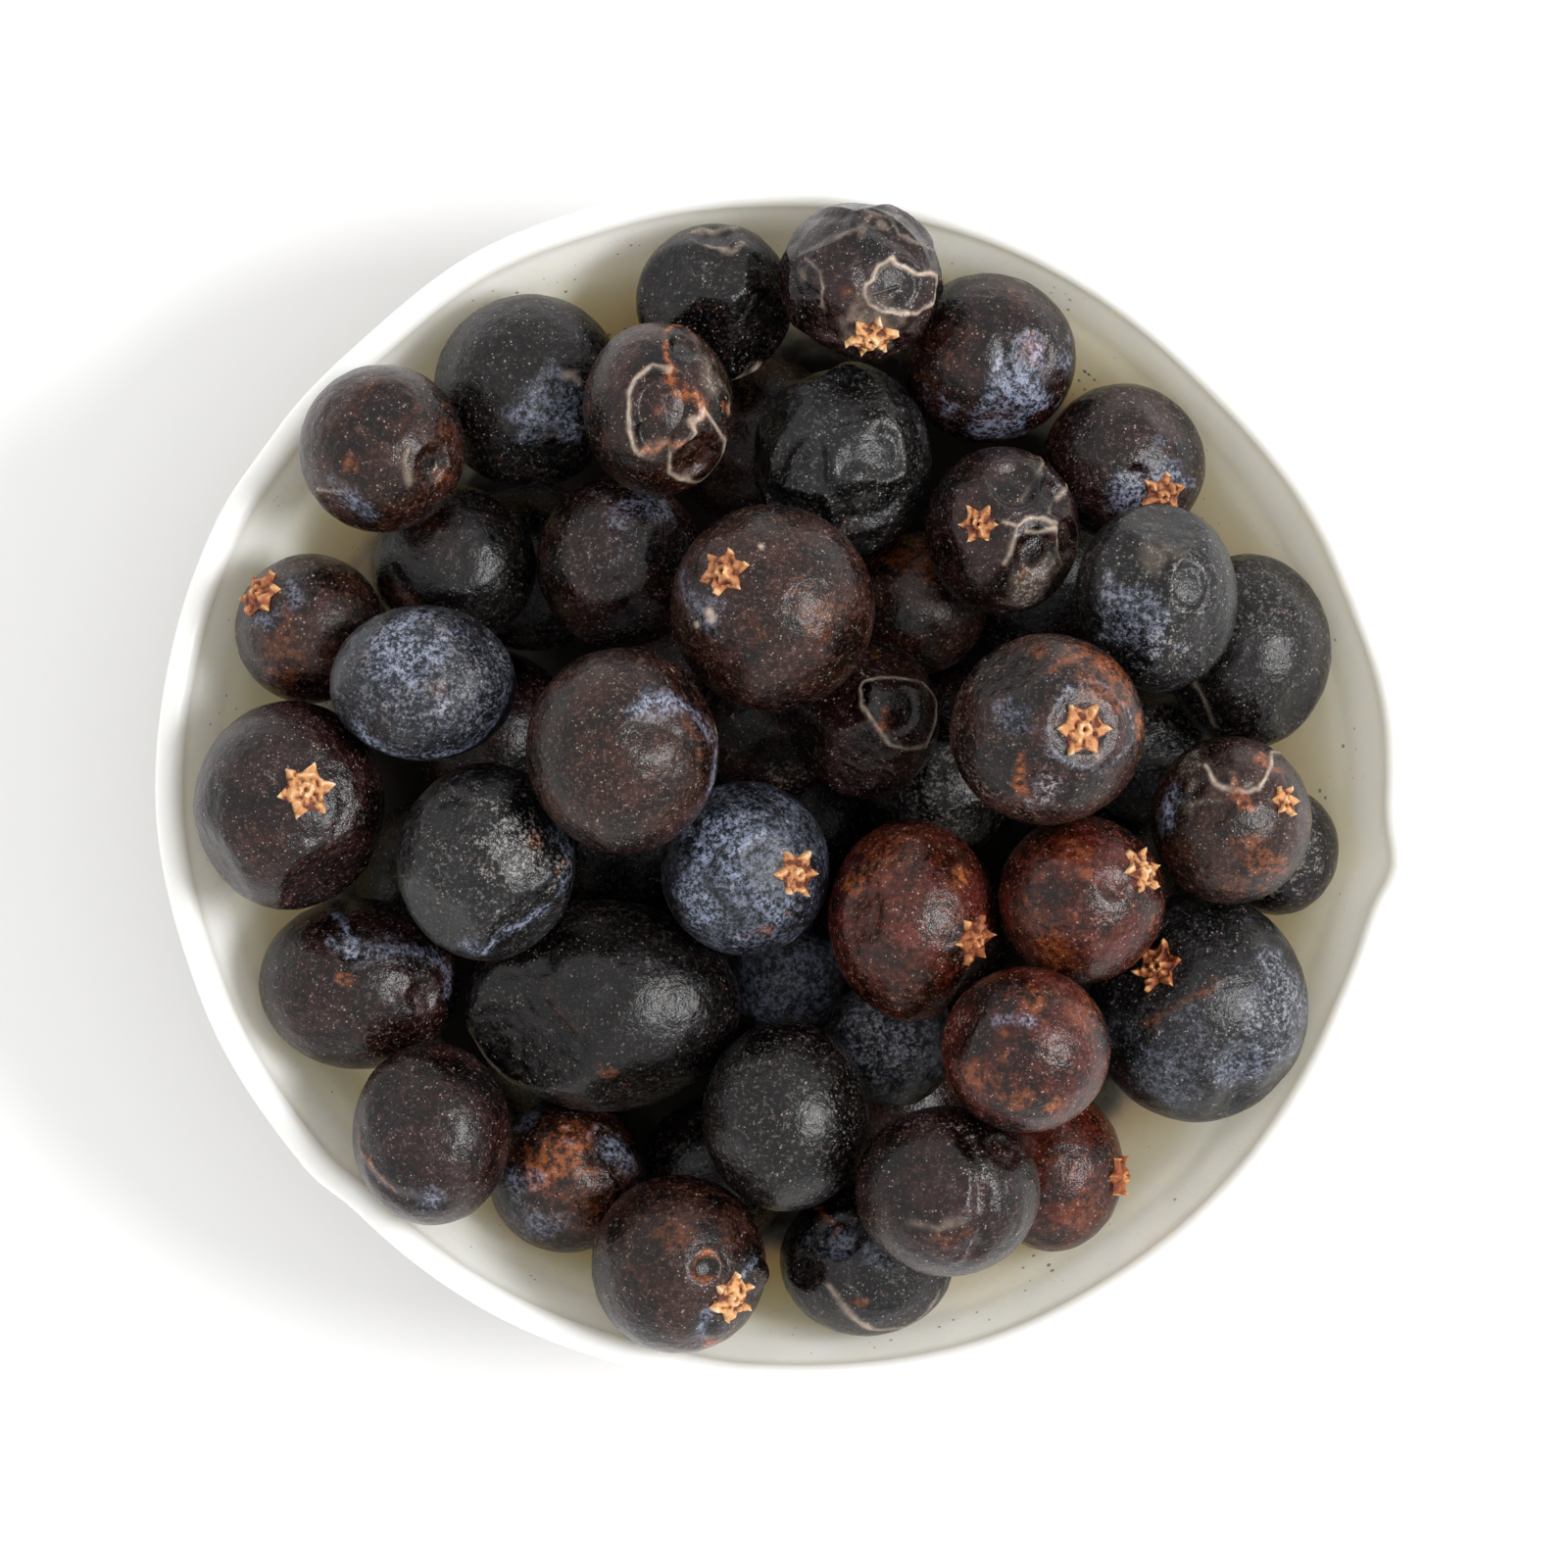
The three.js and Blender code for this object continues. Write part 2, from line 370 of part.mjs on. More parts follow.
// Works out the directions that a berry's marks name, once for all of its skin.
function prepare(berry) {
  berry.seed = Number(berry.name.slice(-2));
  for (const mark of berry.marks) {
    if (mark.kind === "net") mark.middles = netCells(mark);
    else if (mark.kind === "crease") [mark.start, mark.end] = [towards(...mark.from), towards(...mark.to)];
    else mark.middle = towards(mark.right, mark.up);
  }
}

function berryGeometry(berry) {
  const geometry = shared(new THREE.IcosahedronGeometry(1, berry.smooth));
  const half = new THREE.Vector3(...berry.size).multiplyScalar(0.5);
  const place = geometry.attributes.position;
  for (let i = 0; i < place.count; i++) {
    const direction = new THREE.Vector3().fromBufferAttribute(place, i).normalize();
    const point = direction.clone().multiplyScalar(skin(berry, direction)).multiply(half);
    place.setXYZ(i, point.x, point.y, point.z);
  }
  return geometry;
}

// The star's solid, sunk into the skin and lying along it.
function starGeometry(berry) {
  const { right, up, radius, turn } = berry.star;
  const outline = new THREE.Shape();
  for (let corner = 0; corner < 2 * STAR_POINTS; corner++) {
    const point = 1 + STAR_UNEVEN * (chance(berry.seed, corner) - 0.5);
    const reach = radius * (corner % 2 ? STAR_NOTCH : point);
    const angle = turn * RADIAN + corner * Math.PI / STAR_POINTS;
    if (corner === 0) outline.moveTo(reach * Math.cos(angle), reach * Math.sin(angle));
    else outline.lineTo(reach * Math.cos(angle), reach * Math.sin(angle));
  }
  const half = new THREE.Vector3(...berry.size).multiplyScalar(0.5);
  const direction = towards(right, up);
  const middle = direction.clone().multiplyScalar(skin(berry, direction)).multiply(half);
  const outwards = direction.clone().divide(half).normalize();
  const solid = new THREE.ExtrudeGeometry(outline, { depth: STAR_ROOT + STAR_PROUD, bevelEnabled: false });
  solid.translate(0, 0, -STAR_ROOT);
  solid.applyQuaternion(new THREE.Quaternion().setFromUnitVectors(UP, outwards));
  return shared(solid.translate(middle.x, middle.y, middle.z));
}

function toSolid(geometry) {
  const vertProperties = new Float32Array(geometry.attributes.position.array);
  const triVerts = new Uint32Array(geometry.index.array);
  return new wasm.Manifold(new wasm.Mesh({ numProp: 3, vertProperties, triVerts }));
}

function joined(one, other) {
  const { vertProperties, triVerts } = toSolid(one).add(toSolid(other)).getMesh();
  const geometry = new THREE.BufferGeometry();
  geometry.setAttribute("position", new THREE.BufferAttribute(vertProperties, 3));
  geometry.setIndex(new THREE.BufferAttribute(triVerts, 1));
  return geometry;
}

// How far a berry's full oval reaches from its middle along a direction.
function reachAlong(berry, x, y, z) {
  const [a, b, c] = berry.size;
  return Math.hypot(a * x, b * y, c * z) / 2 / Math.hypot(x, y, z);
}

// The height at which a berry coming down from above first touches one that already lies in the bowl.
function touchingHeight(berry, x, y, lower) {
  const [dx, dy] = [x - lower.place.x, y - lower.place.y];
  const room = (rise) =>
    Math.hypot(dx, dy, rise) - reachAlong(berry, dx, dy, rise) - reachAlong(lower, dx, dy, rise) - GAP;
  if (room(0.001) >= 0) return -Infinity;
  let [low, high] = [0, 14];
  for (let halving = 0; halving < 24; halving++) {
    const middle = (low + high) / 2;
    if (room(middle) < 0) low = middle;
    else high = middle;
  }
  return lower.place.z + high;
}

// The height at which a berry coming down from above first touches the bowl or a berry.
function landingHeight(berry, x, y, settled) {
  const place = berry.geometry.attributes.position;
  let height = 0;
  for (let i = 0; i < place.count; i++) {
    const under = insideHeight(x + place.getX(i), y + place.getY(i));
    height = Math.max(height, under - place.getZ(i) + GAP);
  }
  return Math.max(height, ...settled.map((lower) => touchingHeight(berry, x, y, lower)));
}

// Lays a berry in the bowl: down to where it touches, then rolled a little way to wherever is lower.
function settle(berry, settled) {
  const [homeX, homeY] = [berry.at[0] + HEAP_RIGHT, berry.at[1]];
  let best = { x: homeX, y: homeY, z: landingHeight(berry, homeX, homeY, settled) };
  for (let roll = 0; roll < 12; roll++) {
    let lower = best;
    for (let heading = 0; heading < 8; heading++) {
      const x = best.x + EASE_STEP * Math.cos(heading * Math.PI / 4);
      const y = best.y + EASE_STEP * Math.sin(heading * Math.PI / 4);
      if (Math.hypot(x - homeX, y - homeY) > EASE_LIMIT) continue;
      const z = landingHeight(berry, x, y, settled);
      if (z < lower.z - 0.01) lower = { x, y, z };
    }
    if (lower === best) break;
    best = lower;
  }
  berry.place = new THREE.Vector3(best.x, best.y, best.z);
}

function part(name, geometry, finish) {
  const mesh = new THREE.Mesh(geometry, new THREE.MeshStandardMaterial({ ...finish, metalness: 0 }));
  mesh.name = name;
  return mesh;
}

const group = new THREE.Group();

const bowl = part("bowl", bowlGeometry(), GLAZE);
bowl.geometry.computeBoundingBox();
group.add(bowl);

const settled = [];
for (const berry of HEAP) {
  prepare(berry);
  berry.geometry = berryGeometry(berry);
  settle(berry, settled);
  settled.push(berry);
  const geometry = berry.star ? joined(berry.geometry, starGeometry(berry)) : berry.geometry;
  const mesh = part(berry.name, geometry, berry.colour);
  mesh.position.copy(berry.place);
  group.add(mesh);
}

// The outline is drawn round its own middle: the whole is moved so that its box is centred on the origin.
const middle = bowl.geometry.boundingBox.getCenter(new THREE.Vector3());
group.position.set(-middle.x, -middle.y, 0);

export default group;
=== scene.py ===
import itertools
from collections import namedtuple

import bpy
import numpy as np
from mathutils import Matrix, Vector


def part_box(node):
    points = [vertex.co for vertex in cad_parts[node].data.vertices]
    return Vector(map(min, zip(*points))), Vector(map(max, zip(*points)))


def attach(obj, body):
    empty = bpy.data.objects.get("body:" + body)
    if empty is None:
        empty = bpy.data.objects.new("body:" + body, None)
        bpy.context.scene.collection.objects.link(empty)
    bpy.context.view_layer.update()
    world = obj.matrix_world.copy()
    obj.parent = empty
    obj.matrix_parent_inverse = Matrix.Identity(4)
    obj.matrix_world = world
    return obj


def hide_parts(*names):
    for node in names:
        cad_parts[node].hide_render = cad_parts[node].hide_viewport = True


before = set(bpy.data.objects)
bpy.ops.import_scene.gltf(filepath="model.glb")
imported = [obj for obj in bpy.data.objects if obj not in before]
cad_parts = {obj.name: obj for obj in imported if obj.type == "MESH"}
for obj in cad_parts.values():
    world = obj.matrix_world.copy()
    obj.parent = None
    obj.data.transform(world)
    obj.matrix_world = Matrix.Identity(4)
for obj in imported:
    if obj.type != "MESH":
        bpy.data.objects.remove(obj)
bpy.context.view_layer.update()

# Camera. It looks straight down on the bowl from 0.8 m, as the photograph does, with the photograph's top
# edge towards +Y. The frame takes in 71.1 mm at the height of the lip.
MM = 0.001
FRAME_WIDTH = 71.1
CAMERA_RISE = 800.0
LIP_HEIGHT = 18.0
CAMERA_OVER = (-0.12, 0.09)
SENSOR = 36.0

camera = bpy.data.objects.new("camera", bpy.data.cameras.new("camera"))
camera.data.sensor_width = SENSOR
camera.data.lens = SENSOR * CAMERA_RISE / FRAME_WIDTH
camera.data.clip_start = 0.01
camera.data.clip_end = 10
camera.location = (CAMERA_OVER[0] * MM, CAMERA_OVER[1] * MM, (LIP_HEIGHT + CAMERA_RISE) * MM)
bpy.context.scene.collection.objects.link(camera)
bpy.context.scene.camera = camera
bpy.context.scene.view_settings.view_transform = "Standard"

# Bowl: thin white porcelain shaped by hand, so that its wall wavers and its rounded lip rises and falls.
# Its glaze is warm white and soft, with dark specks on the wall and painted shade under the heap.
LIP_THICKNESS = 1.3
MEAN_RADIUS = 27.9
OUTER_DEPTH = 19.7
INNER_DEPTH = 15.8
CURVE_RISE = 60.0
NUB_ANGLE = -7.5
NUB_WIDTH = 3.0
NUB_REACH = 0.65
LIP_WAVE = 0.3
OUTLINE = np.array([
    [5, 28.62], [22, 28.04], [46, 27.42], [69, 27.53], [89, 27.47], [107, 27.6], [121, 27.91],
    [132, 27.76], [145, 28.04], [155, 28.34], [167, 28.36], [181, 28.44], [200, 28.09], [219, 27.73],
    [225, 27.33], [240, 27.35], [256, 27.24], [267, 27.47], [295, 27.95], [322, 28.18], [336, 28.13],
    [349, 28.4], [365, 28.62],
])
GROOVE_DROP = 2.1
GROOVE_WIDTH = 0.35
GROOVE_DEPTH = 0.07
HAND_WAVER = 0.12
FINGER_SIZE = 7.0
BOWL_COLUMNS = 240
OUTER_RINGS = 48
INNER_RINGS = 96
LIP_STEPS = 13
GLAZE = "#f6f4ee"
# Cream of the lower wall: pooled glaze, with painted warm shade as well.
GLAZE_POOLED_SHADED = "#e9e0c8"
# Near black, for the real specks on the wall and for the painted shade under the heap.
SPECK_AND_SHADE = "#1c1511"


def ease(value):
    """A smooth step from 0 to 1."""
    part = np.clip(value, 0, 1)
    return part * part * (3 - 2 * part)


def grain(points, size, seed):
    """Smooth noise from -1 to 1: seeded values on a lattice with cells of the given size, eased between."""
    lattice = np.random.default_rng(seed).uniform(-1, 1, (16, 16, 16))
    cell = np.floor(points / size).astype(int)
    part = ease(points / size - cell)
    total = np.zeros(points.shape[:-1])
    for corner in itertools.product((0, 1), repeat=3):
        weight = np.where(corner, part, 1 - part).prod(axis=-1)
        total += weight * lattice[tuple(np.moveaxis((cell + corner) % 16, -1, 0))]
    return total


def lip_radius(degrees):
    """The outline's radius, eased from each of its angles to the next, and a bell-shaped nub added to it."""
    angle = (degrees - OUTLINE[0, 0]) % 360 + OUTLINE[0, 0]
    after = np.clip(np.searchsorted(OUTLINE[:, 0], angle), 1, len(OUTLINE) - 1)
    (low, start), (high, end) = OUTLINE[after - 1].T, OUTLINE[after].T
    off_nub = (degrees - NUB_ANGLE + 180) % 360 - 180
    nub = NUB_REACH * np.exp(-(off_nub / NUB_WIDTH) ** 2)
    return start + (end - start) * ease((angle - low) / (high - low)) + nub


def wall_curve(lip_end, depth, first_drop, rings):
    """Radius and height up a wall, from first_drop above its oval's lowest level to the lip. The oval's
    lowest point lies depth below the lip, and its widest level CURVE_RISE above it."""
    tall = depth + CURVE_RISE
    lip_turn = np.arccos(CURVE_RISE / tall)
    turn = np.linspace(np.arccos(1 - first_drop / tall), lip_turn, rings)
    return lip_end / np.sin(lip_turn) * np.sin(turn), LIP_HEIGHT + CURVE_RISE - tall * np.cos(turn)


def wall_section():
    """Radius and height from the foot's middle to the floor's: up the outer wall, over the lip, which is
    half a circle, and down the inner wall, where a faint throwing line runs under the lip."""
    outer_r, outer_z = wall_curve(MEAN_RADIUS, OUTER_DEPTH, OUTER_DEPTH - LIP_HEIGHT, OUTER_RINGS)
    inner_r, inner_z = wall_curve(MEAN_RADIUS - LIP_THICKNESS, INNER_DEPTH, 0.01, INNER_RINGS)
    turn = np.linspace(0, np.pi, LIP_STEPS)[1:-1]
    lip_r = MEAN_RADIUS - LIP_THICKNESS / 2 * (1 - np.cos(turn))
    lip_z = LIP_HEIGHT + LIP_THICKNESS / 2 * np.sin(turn)
    inner_r += GROOVE_DEPTH * np.exp(-((inner_z - LIP_HEIGHT + GROOVE_DROP) / GROOVE_WIDTH) ** 2)
    foot_r = outer_r[0] * np.array([0.3, 0.7, 0.97])
    return (np.concatenate([foot_r, outer_r, lip_r, inner_r[::-1]]),
            np.concatenate([0 * foot_r, outer_z, lip_z, inner_z[::-1]]))


def turned(radius, height, low_pole, high_pole, columns):
    """Rings of points round +Z, one for each radius and height, with the first and last closed to a pole.
    Returns the points and the faces, which have three or four corners."""
    angle = np.arange(columns) * 2 * np.pi / columns
    rings = np.stack([np.outer(radius, np.cos(angle)), np.outer(radius, np.sin(angle)),
                      np.outer(height, np.ones(columns))], axis=-1)
    points = np.concatenate([rings.reshape(-1, 3), [[0, 0, low_pole], [0, 0, high_pole]]])
    place = np.arange(len(radius) * columns).reshape(len(radius), columns)
    beside = np.roll(place, -1, axis=1)
    band = np.stack([place[:-1], beside[:-1], beside[1:], place[1:]], axis=-1).reshape(-1, 4)
    low = np.stack([beside[0], place[0], np.full(columns, place.size)], axis=-1)
    high = np.stack([place[-1], beside[-1], np.full(columns, place.size + 1)], axis=-1)
    return points, band.tolist() + low.tolist() + high.tolist()


def solid(name, points, faces, node, material):
    """A smooth-shaded mesh object from points in millimetres, riding on the bowl in place of its node."""
    mesh = bpy.data.meshes.new(name)
    mesh.from_pydata((points * MM).tolist(), [], faces)
    mesh.shade_smooth()
    mesh.materials.append(material)
    piece = bpy.data.objects.new(name, mesh)
    bpy.context.scene.collection.objects.link(piece)
    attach(piece, "root")
    if node:
        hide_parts(node)
    return piece


class Wire:
    """One value or colour of a material's node tree. Arithmetic on it adds Math nodes."""

    def __init__(self, tree, socket):
        self.tree = tree
        self.socket = socket

    def node(self, kind, settings, inputs, output=0):
        """Adds a node of a kind, with its settings, and then the values or links of its sockets."""
        made = self.tree.nodes.new(kind)
        for name, value in settings.items():
            setattr(made, name, value)
        for name, value in inputs.items():
            if isinstance(value, Wire):
                self.tree.links.new(value.socket, made.inputs[name])
            else:
                made.inputs[name].default_value = value
        return Wire(self.tree, made.outputs[output])

    def math(self, operation, *values):
        return self.node("ShaderNodeMath", {"operation": operation}, dict(enumerate(values)))

    def __add__(self, other):
        return self.math("ADD", self, other)

    def __sub__(self, other):
        return self.math("SUBTRACT", self, other)

    def __rsub__(self, other):
        return self.math("SUBTRACT", other, self)

    def __mul__(self, other):
        return self.math("MULTIPLY", self, other)

    __radd__ = __add__
    __rmul__ = __mul__

    def step(self, low, high):
        """0 below low, 1 above high, and eased between them. With low above high it falls."""
        return self.node("ShaderNodeMapRange", {"interpolation_type": "SMOOTHSTEP"},
                         {"Value": self, "From Min": low, "From Max": high})

    def mix(self, under, over):
        """A colour between two, by this value."""
        return self.node("ShaderNodeMix", {"data_type": "RGBA"}, {0: self, 6: under, 7: over}, 2)

    def noise(self, scale, detail=2.0, rough=0.5):
        """Noise over this vector, in cells per millimetre."""
        return self.node("ShaderNodeTexNoise", {}, {"Vector": self, "Scale": scale, "Detail": detail,
                                                    "Roughness": rough})

    def cells(self, scale):
        """The distance to the middle of the nearest of scattered cells, in cells per millimetre."""
        return self.node("ShaderNodeTexVoronoi", {}, {"Vector": self, "Scale": scale})


def paint(code):
    """A web colour code as linear red, green, blue and alpha."""
    part = np.array([int(code[i:i + 2], 16) / 255 for i in (1, 3, 5)])
    linear = np.where(part < 0.04045, part / 12.92, ((part + 0.055) / 1.055) ** 2.4)
    return (*linear.tolist(), 1.0)


def new_material(name):
    """An empty material: its shader, a tree to add to, and the place on the surface in millimetres."""
    material = bpy.data.materials.new(name)
    material.use_nodes = True
    tree = material.node_tree
    shader = tree.nodes["Principled BSDF"]
    place = tree.nodes.new("ShaderNodeTexCoord").outputs["Object"]
    scaled = Wire(tree, place).node("ShaderNodeVectorMath", {"operation": "SCALE"},
                                    {0: Wire(tree, place), "Scale": 1 / MM})
    return material, shader, tree, scaled


def glaze():
    """Warm white glaze, creamier low down from pooling and painted warm shade, with specks and painted shade
    under the heap.
    """
    material, shader, tree, place = new_material("glaze")
    axes = tree.nodes.new("ShaderNodeSeparateXYZ")
    tree.links.new(place.socket, axes.inputs[0])
    height = Wire(tree, axes.outputs["Z"])
    cloud = place.noise(0.09, 3.0)
    # Creamier low down: partly glaze that pooled thicker, partly painted warm shade of the lower wall.
    pooled_and_shaded = (height + cloud * 5.0 + place.noise(1.6, 4.0) * 1.2).step(20.5, 14.5)
    white = pooled_and_shaded.mix(paint(GLAZE), paint(GLAZE_POOLED_SHADED))
    # Painted shade: under the heap the glaze turns near black, and there it is rougher and has no coat.
    shade_under_heap = (height + place.noise(0.6, 4.0) * 2.5).step(14.0, 11.5)
    speck_size = place.noise(0.35, 2.0).step(0.45, 0.72) * 0.16
    specks = (place.cells(1.9) - speck_size).step(0.05, 0.0) * height.step(18.0, 16.5)
    specks_and_shade = shade_under_heap * 0.98 + specks * 0.6
    specks_and_shade = specks_and_shade.math("MINIMUM", specks_and_shade, 1.0)
    tree.links.new(specks_and_shade.mix(white, paint(SPECK_AND_SHADE)).socket, shader.inputs["Base Color"])
    rough = place.noise(0.8, 3.0) * 0.16 + 0.3
    tree.links.new((rough + shade_under_heap * 0.6).socket, shader.inputs["Roughness"])
    tree.links.new((0.25 - shade_under_heap * 0.25).socket, shader.inputs["Coat Weight"])
    swell = place.noise(0.22, 2.0) + place.noise(2.5, 2.0) * 0.06
    bump = swell.node("ShaderNodeBump", {}, {"Height": swell, "Strength": 0.5, "Distance": 0.35 * MM})
    tree.links.new(bump.socket, shader.inputs["Normal"])
    shader.inputs["Subsurface Weight"].default_value = 0.6
    shader.inputs["Subsurface Radius"].default_value = (1.0, 0.85, 0.6)
    shader.inputs["Subsurface Scale"].default_value = 2.5 * MM
    shader.inputs["Coat Roughness"].default_value = 0.2
    return material


def bowl():
    """The wall's section turned round +Z, widened by the waver and raised by the lip's wave, both of which
    fade towards the foot, with small swells where fingers pressed the clay."""
    radius, height = wall_section()
    points, faces = turned(radius, height, 0.0, LIP_HEIGHT - INNER_DEPTH, BOWL_COLUMNS)
    degrees = np.degrees(np.arctan2(points[:, 1], points[:, 0]))
    risen = points[:, 2] / LIP_HEIGHT
    fingers = HAND_WAVER * grain(points, FINGER_SIZE, 11) * ease(risen * 3) * ease((1.05 - risen) * 8)
    wide = 1 + (lip_radius(degrees) / MEAN_RADIUS - 1) * risen ** 1.5 + fingers / MEAN_RADIUS
    turn = np.radians(degrees)
    points[:, 2] += LIP_WAVE * (np.sin(2 * turn + 0.6) + 0.5 * np.sin(5 * turn)) / 1.5 * risen ** 3
    points[:, :2] *= wide[:, None]
    low, high = points.min(axis=0), points.max(axis=0)
    points[:, :2] -= (low[:2] + high[:2]) / 2
    solid("bowl_porcelain", points, faces, "bowl", glaze())


bowl()

# Berries: dried juniper cones, each one fleshy ball that shrank round its seeds as it dried. That left
# dents with crisp rims, flat sides, folds and nets of wrinkles. They only rest on one another.
LUMPS = 0.004
LUMP_WAVES = 4
LUMP_TURNS = 1.6
FOLD_BLEND = 0.05
SIDE_ON = 0.2
FAR_OFF = 9.0
NET_RIDGE = 0.35
NET_LINE_RISE = 0.012
NET_LINE_WIDTH = 0.07
WRINKLE_DEPTH = 0.008
WRINKLE_SIZE = 0.9
WRINKLE_BEND = 0.5
BEND_SIZE = 1.6
PIMPLE_RISE = 0.004
PIMPLE_SIZE = 0.45
HIDDEN_STEPS = 14
DEEP_STEPS = 24
SEEN_STEPS = 38
LINED_STEPS = 54
THIN_LINE = 0.031
LINE_SWAY = 0.06
LEAN_UP = 0.4
TINTS = ("bloom", "rust", "pale", "dark", "frost")

Star = namedtuple("Star", "right up radius turn tone")


class Berry(namedtuple("Berry", "number size skin marks star", defaults=[(), None])):
    """A berry with its length, width and height in millimetres. Its number also seeds its grain."""
    @property
    def name(self):
        return f"berry_{self.number:02d}"


def dent(right, up, width, depth, edge=0.7):
    return {"kind": "dent", "at": (right, up), "width": width, "depth": depth, "edge": edge}


def bump(right, up, width, height):
    return dent(right, up, width, -height, 1.0)


def flat(right, up, distance):
    return {"kind": "flat", "at": (right, up), "distance": distance}


def crease(start, end, width, depth):
    return {"kind": "crease", "line": [start, end], "width": width, "depth": depth}


def net(cells, depth, seed):
    return {"kind": "net", "cells": cells, "depth": depth, "seed": seed}


def ridge(line, width, height, **tints):
    return {"kind": "ridge", "line": line, "width": width, "height": height, "tints": tints}


def pit(right, up, width, depth, **tints):
    return {"kind": "pit", "at": (right, up), "width": width, "height": -depth, "tints": tints}


def patch(right, up, width, **tints):
    return pit(right, up, width, 0, **tints)


BLACK, SLATE, BLUE, PLUM, BROWN, RED = "black", "slate", "blue", "plum", "brown", "red"

# The dark tint is painted shade in dents, grooves and creases, and over whole berries low in the heap.
# Marks are placed as they show from above: right and up from the middle of the berry in hundredths of its
# radius. Widths are in radians of the skin, depths and heights in fractions of the radius.
# Frost patches right of a berry's middle are a painted highlight; frost along seams is partly painted
# glints.
HIDDEN = [
    Berry(45, (7.9, 7.7, 7.1), BLACK),
    Berry(46, (7.8, 7.9, 7.2), PLUM),
    Berry(47, (7.9, 7.7, 7.0), BLACK),
    Berry(48, (8.0, 7.9, 7.2), BROWN),
    Berry(49, (7.9, 8.1, 7.1), BLACK),
    Berry(50, (7.9, 8.0, 7.2), BROWN),
    Berry(51, (8.0, 7.8, 7.2), PLUM),
    Berry(52, (7.7, 7.9, 7.1), BLACK),
    Berry(53, (8.1, 7.9, 7.2), BLACK),
    Berry(54, (7.9, 8.0, 7.2), BROWN),
    Berry(55, (7.9, 7.8, 7.1), BLACK),
    Berry(56, (7.4, 7.6, 7.0), PLUM),
    Berry(57, (7.4, 7.6, 7.0), BLACK),
    Berry(58, (7.9, 7.8, 7.2), BROWN),
    Berry(59, (8.1, 7.9, 7.3), BLACK),
]
DEEP = [
    Berry(30, (6.8, 6.6, 6.4), BLACK, [net(16, 0.04, 5), patch(0, 0, 1.2, frost=0.7)]),
    Berry(20, (6.8, 6.6, 6.4), BROWN, [flat(10, -50, 0.9), patch(10, -70, 0.5, frost=0.7)]),
    Berry(33, (5.7, 5.5, 5.4), SLATE, [patch(0, 0, 1.2, bloom=0.5)]),
    Berry(36, (6.0, 6.2, 5.8), SLATE, [net(14, 0.05, 3), patch(0, 0, 1.2, frost=0.7, bloom=0.3)]),
    Berry(44, (7.0, 6.8, 6.5), BLACK, [patch(0, 0, 1.2, frost=0.3)]),
    Berry(23, (6.4, 6.2, 6.0), SLATE, [flat(30, 30, 0.9), patch(30, 30, 1.2, frost=0.6)]),
    Berry(25, (5.7, 5.9, 5.6), BLACK, [patch(0, 0, 1.2, frost=0.6)]),
    Berry(15, (6.6, 6.6, 6.3), BROWN, [dent(10, 5, 0.5, 0.03, 1), patch(0, 70, 0.6, rust=0.6)]),
]
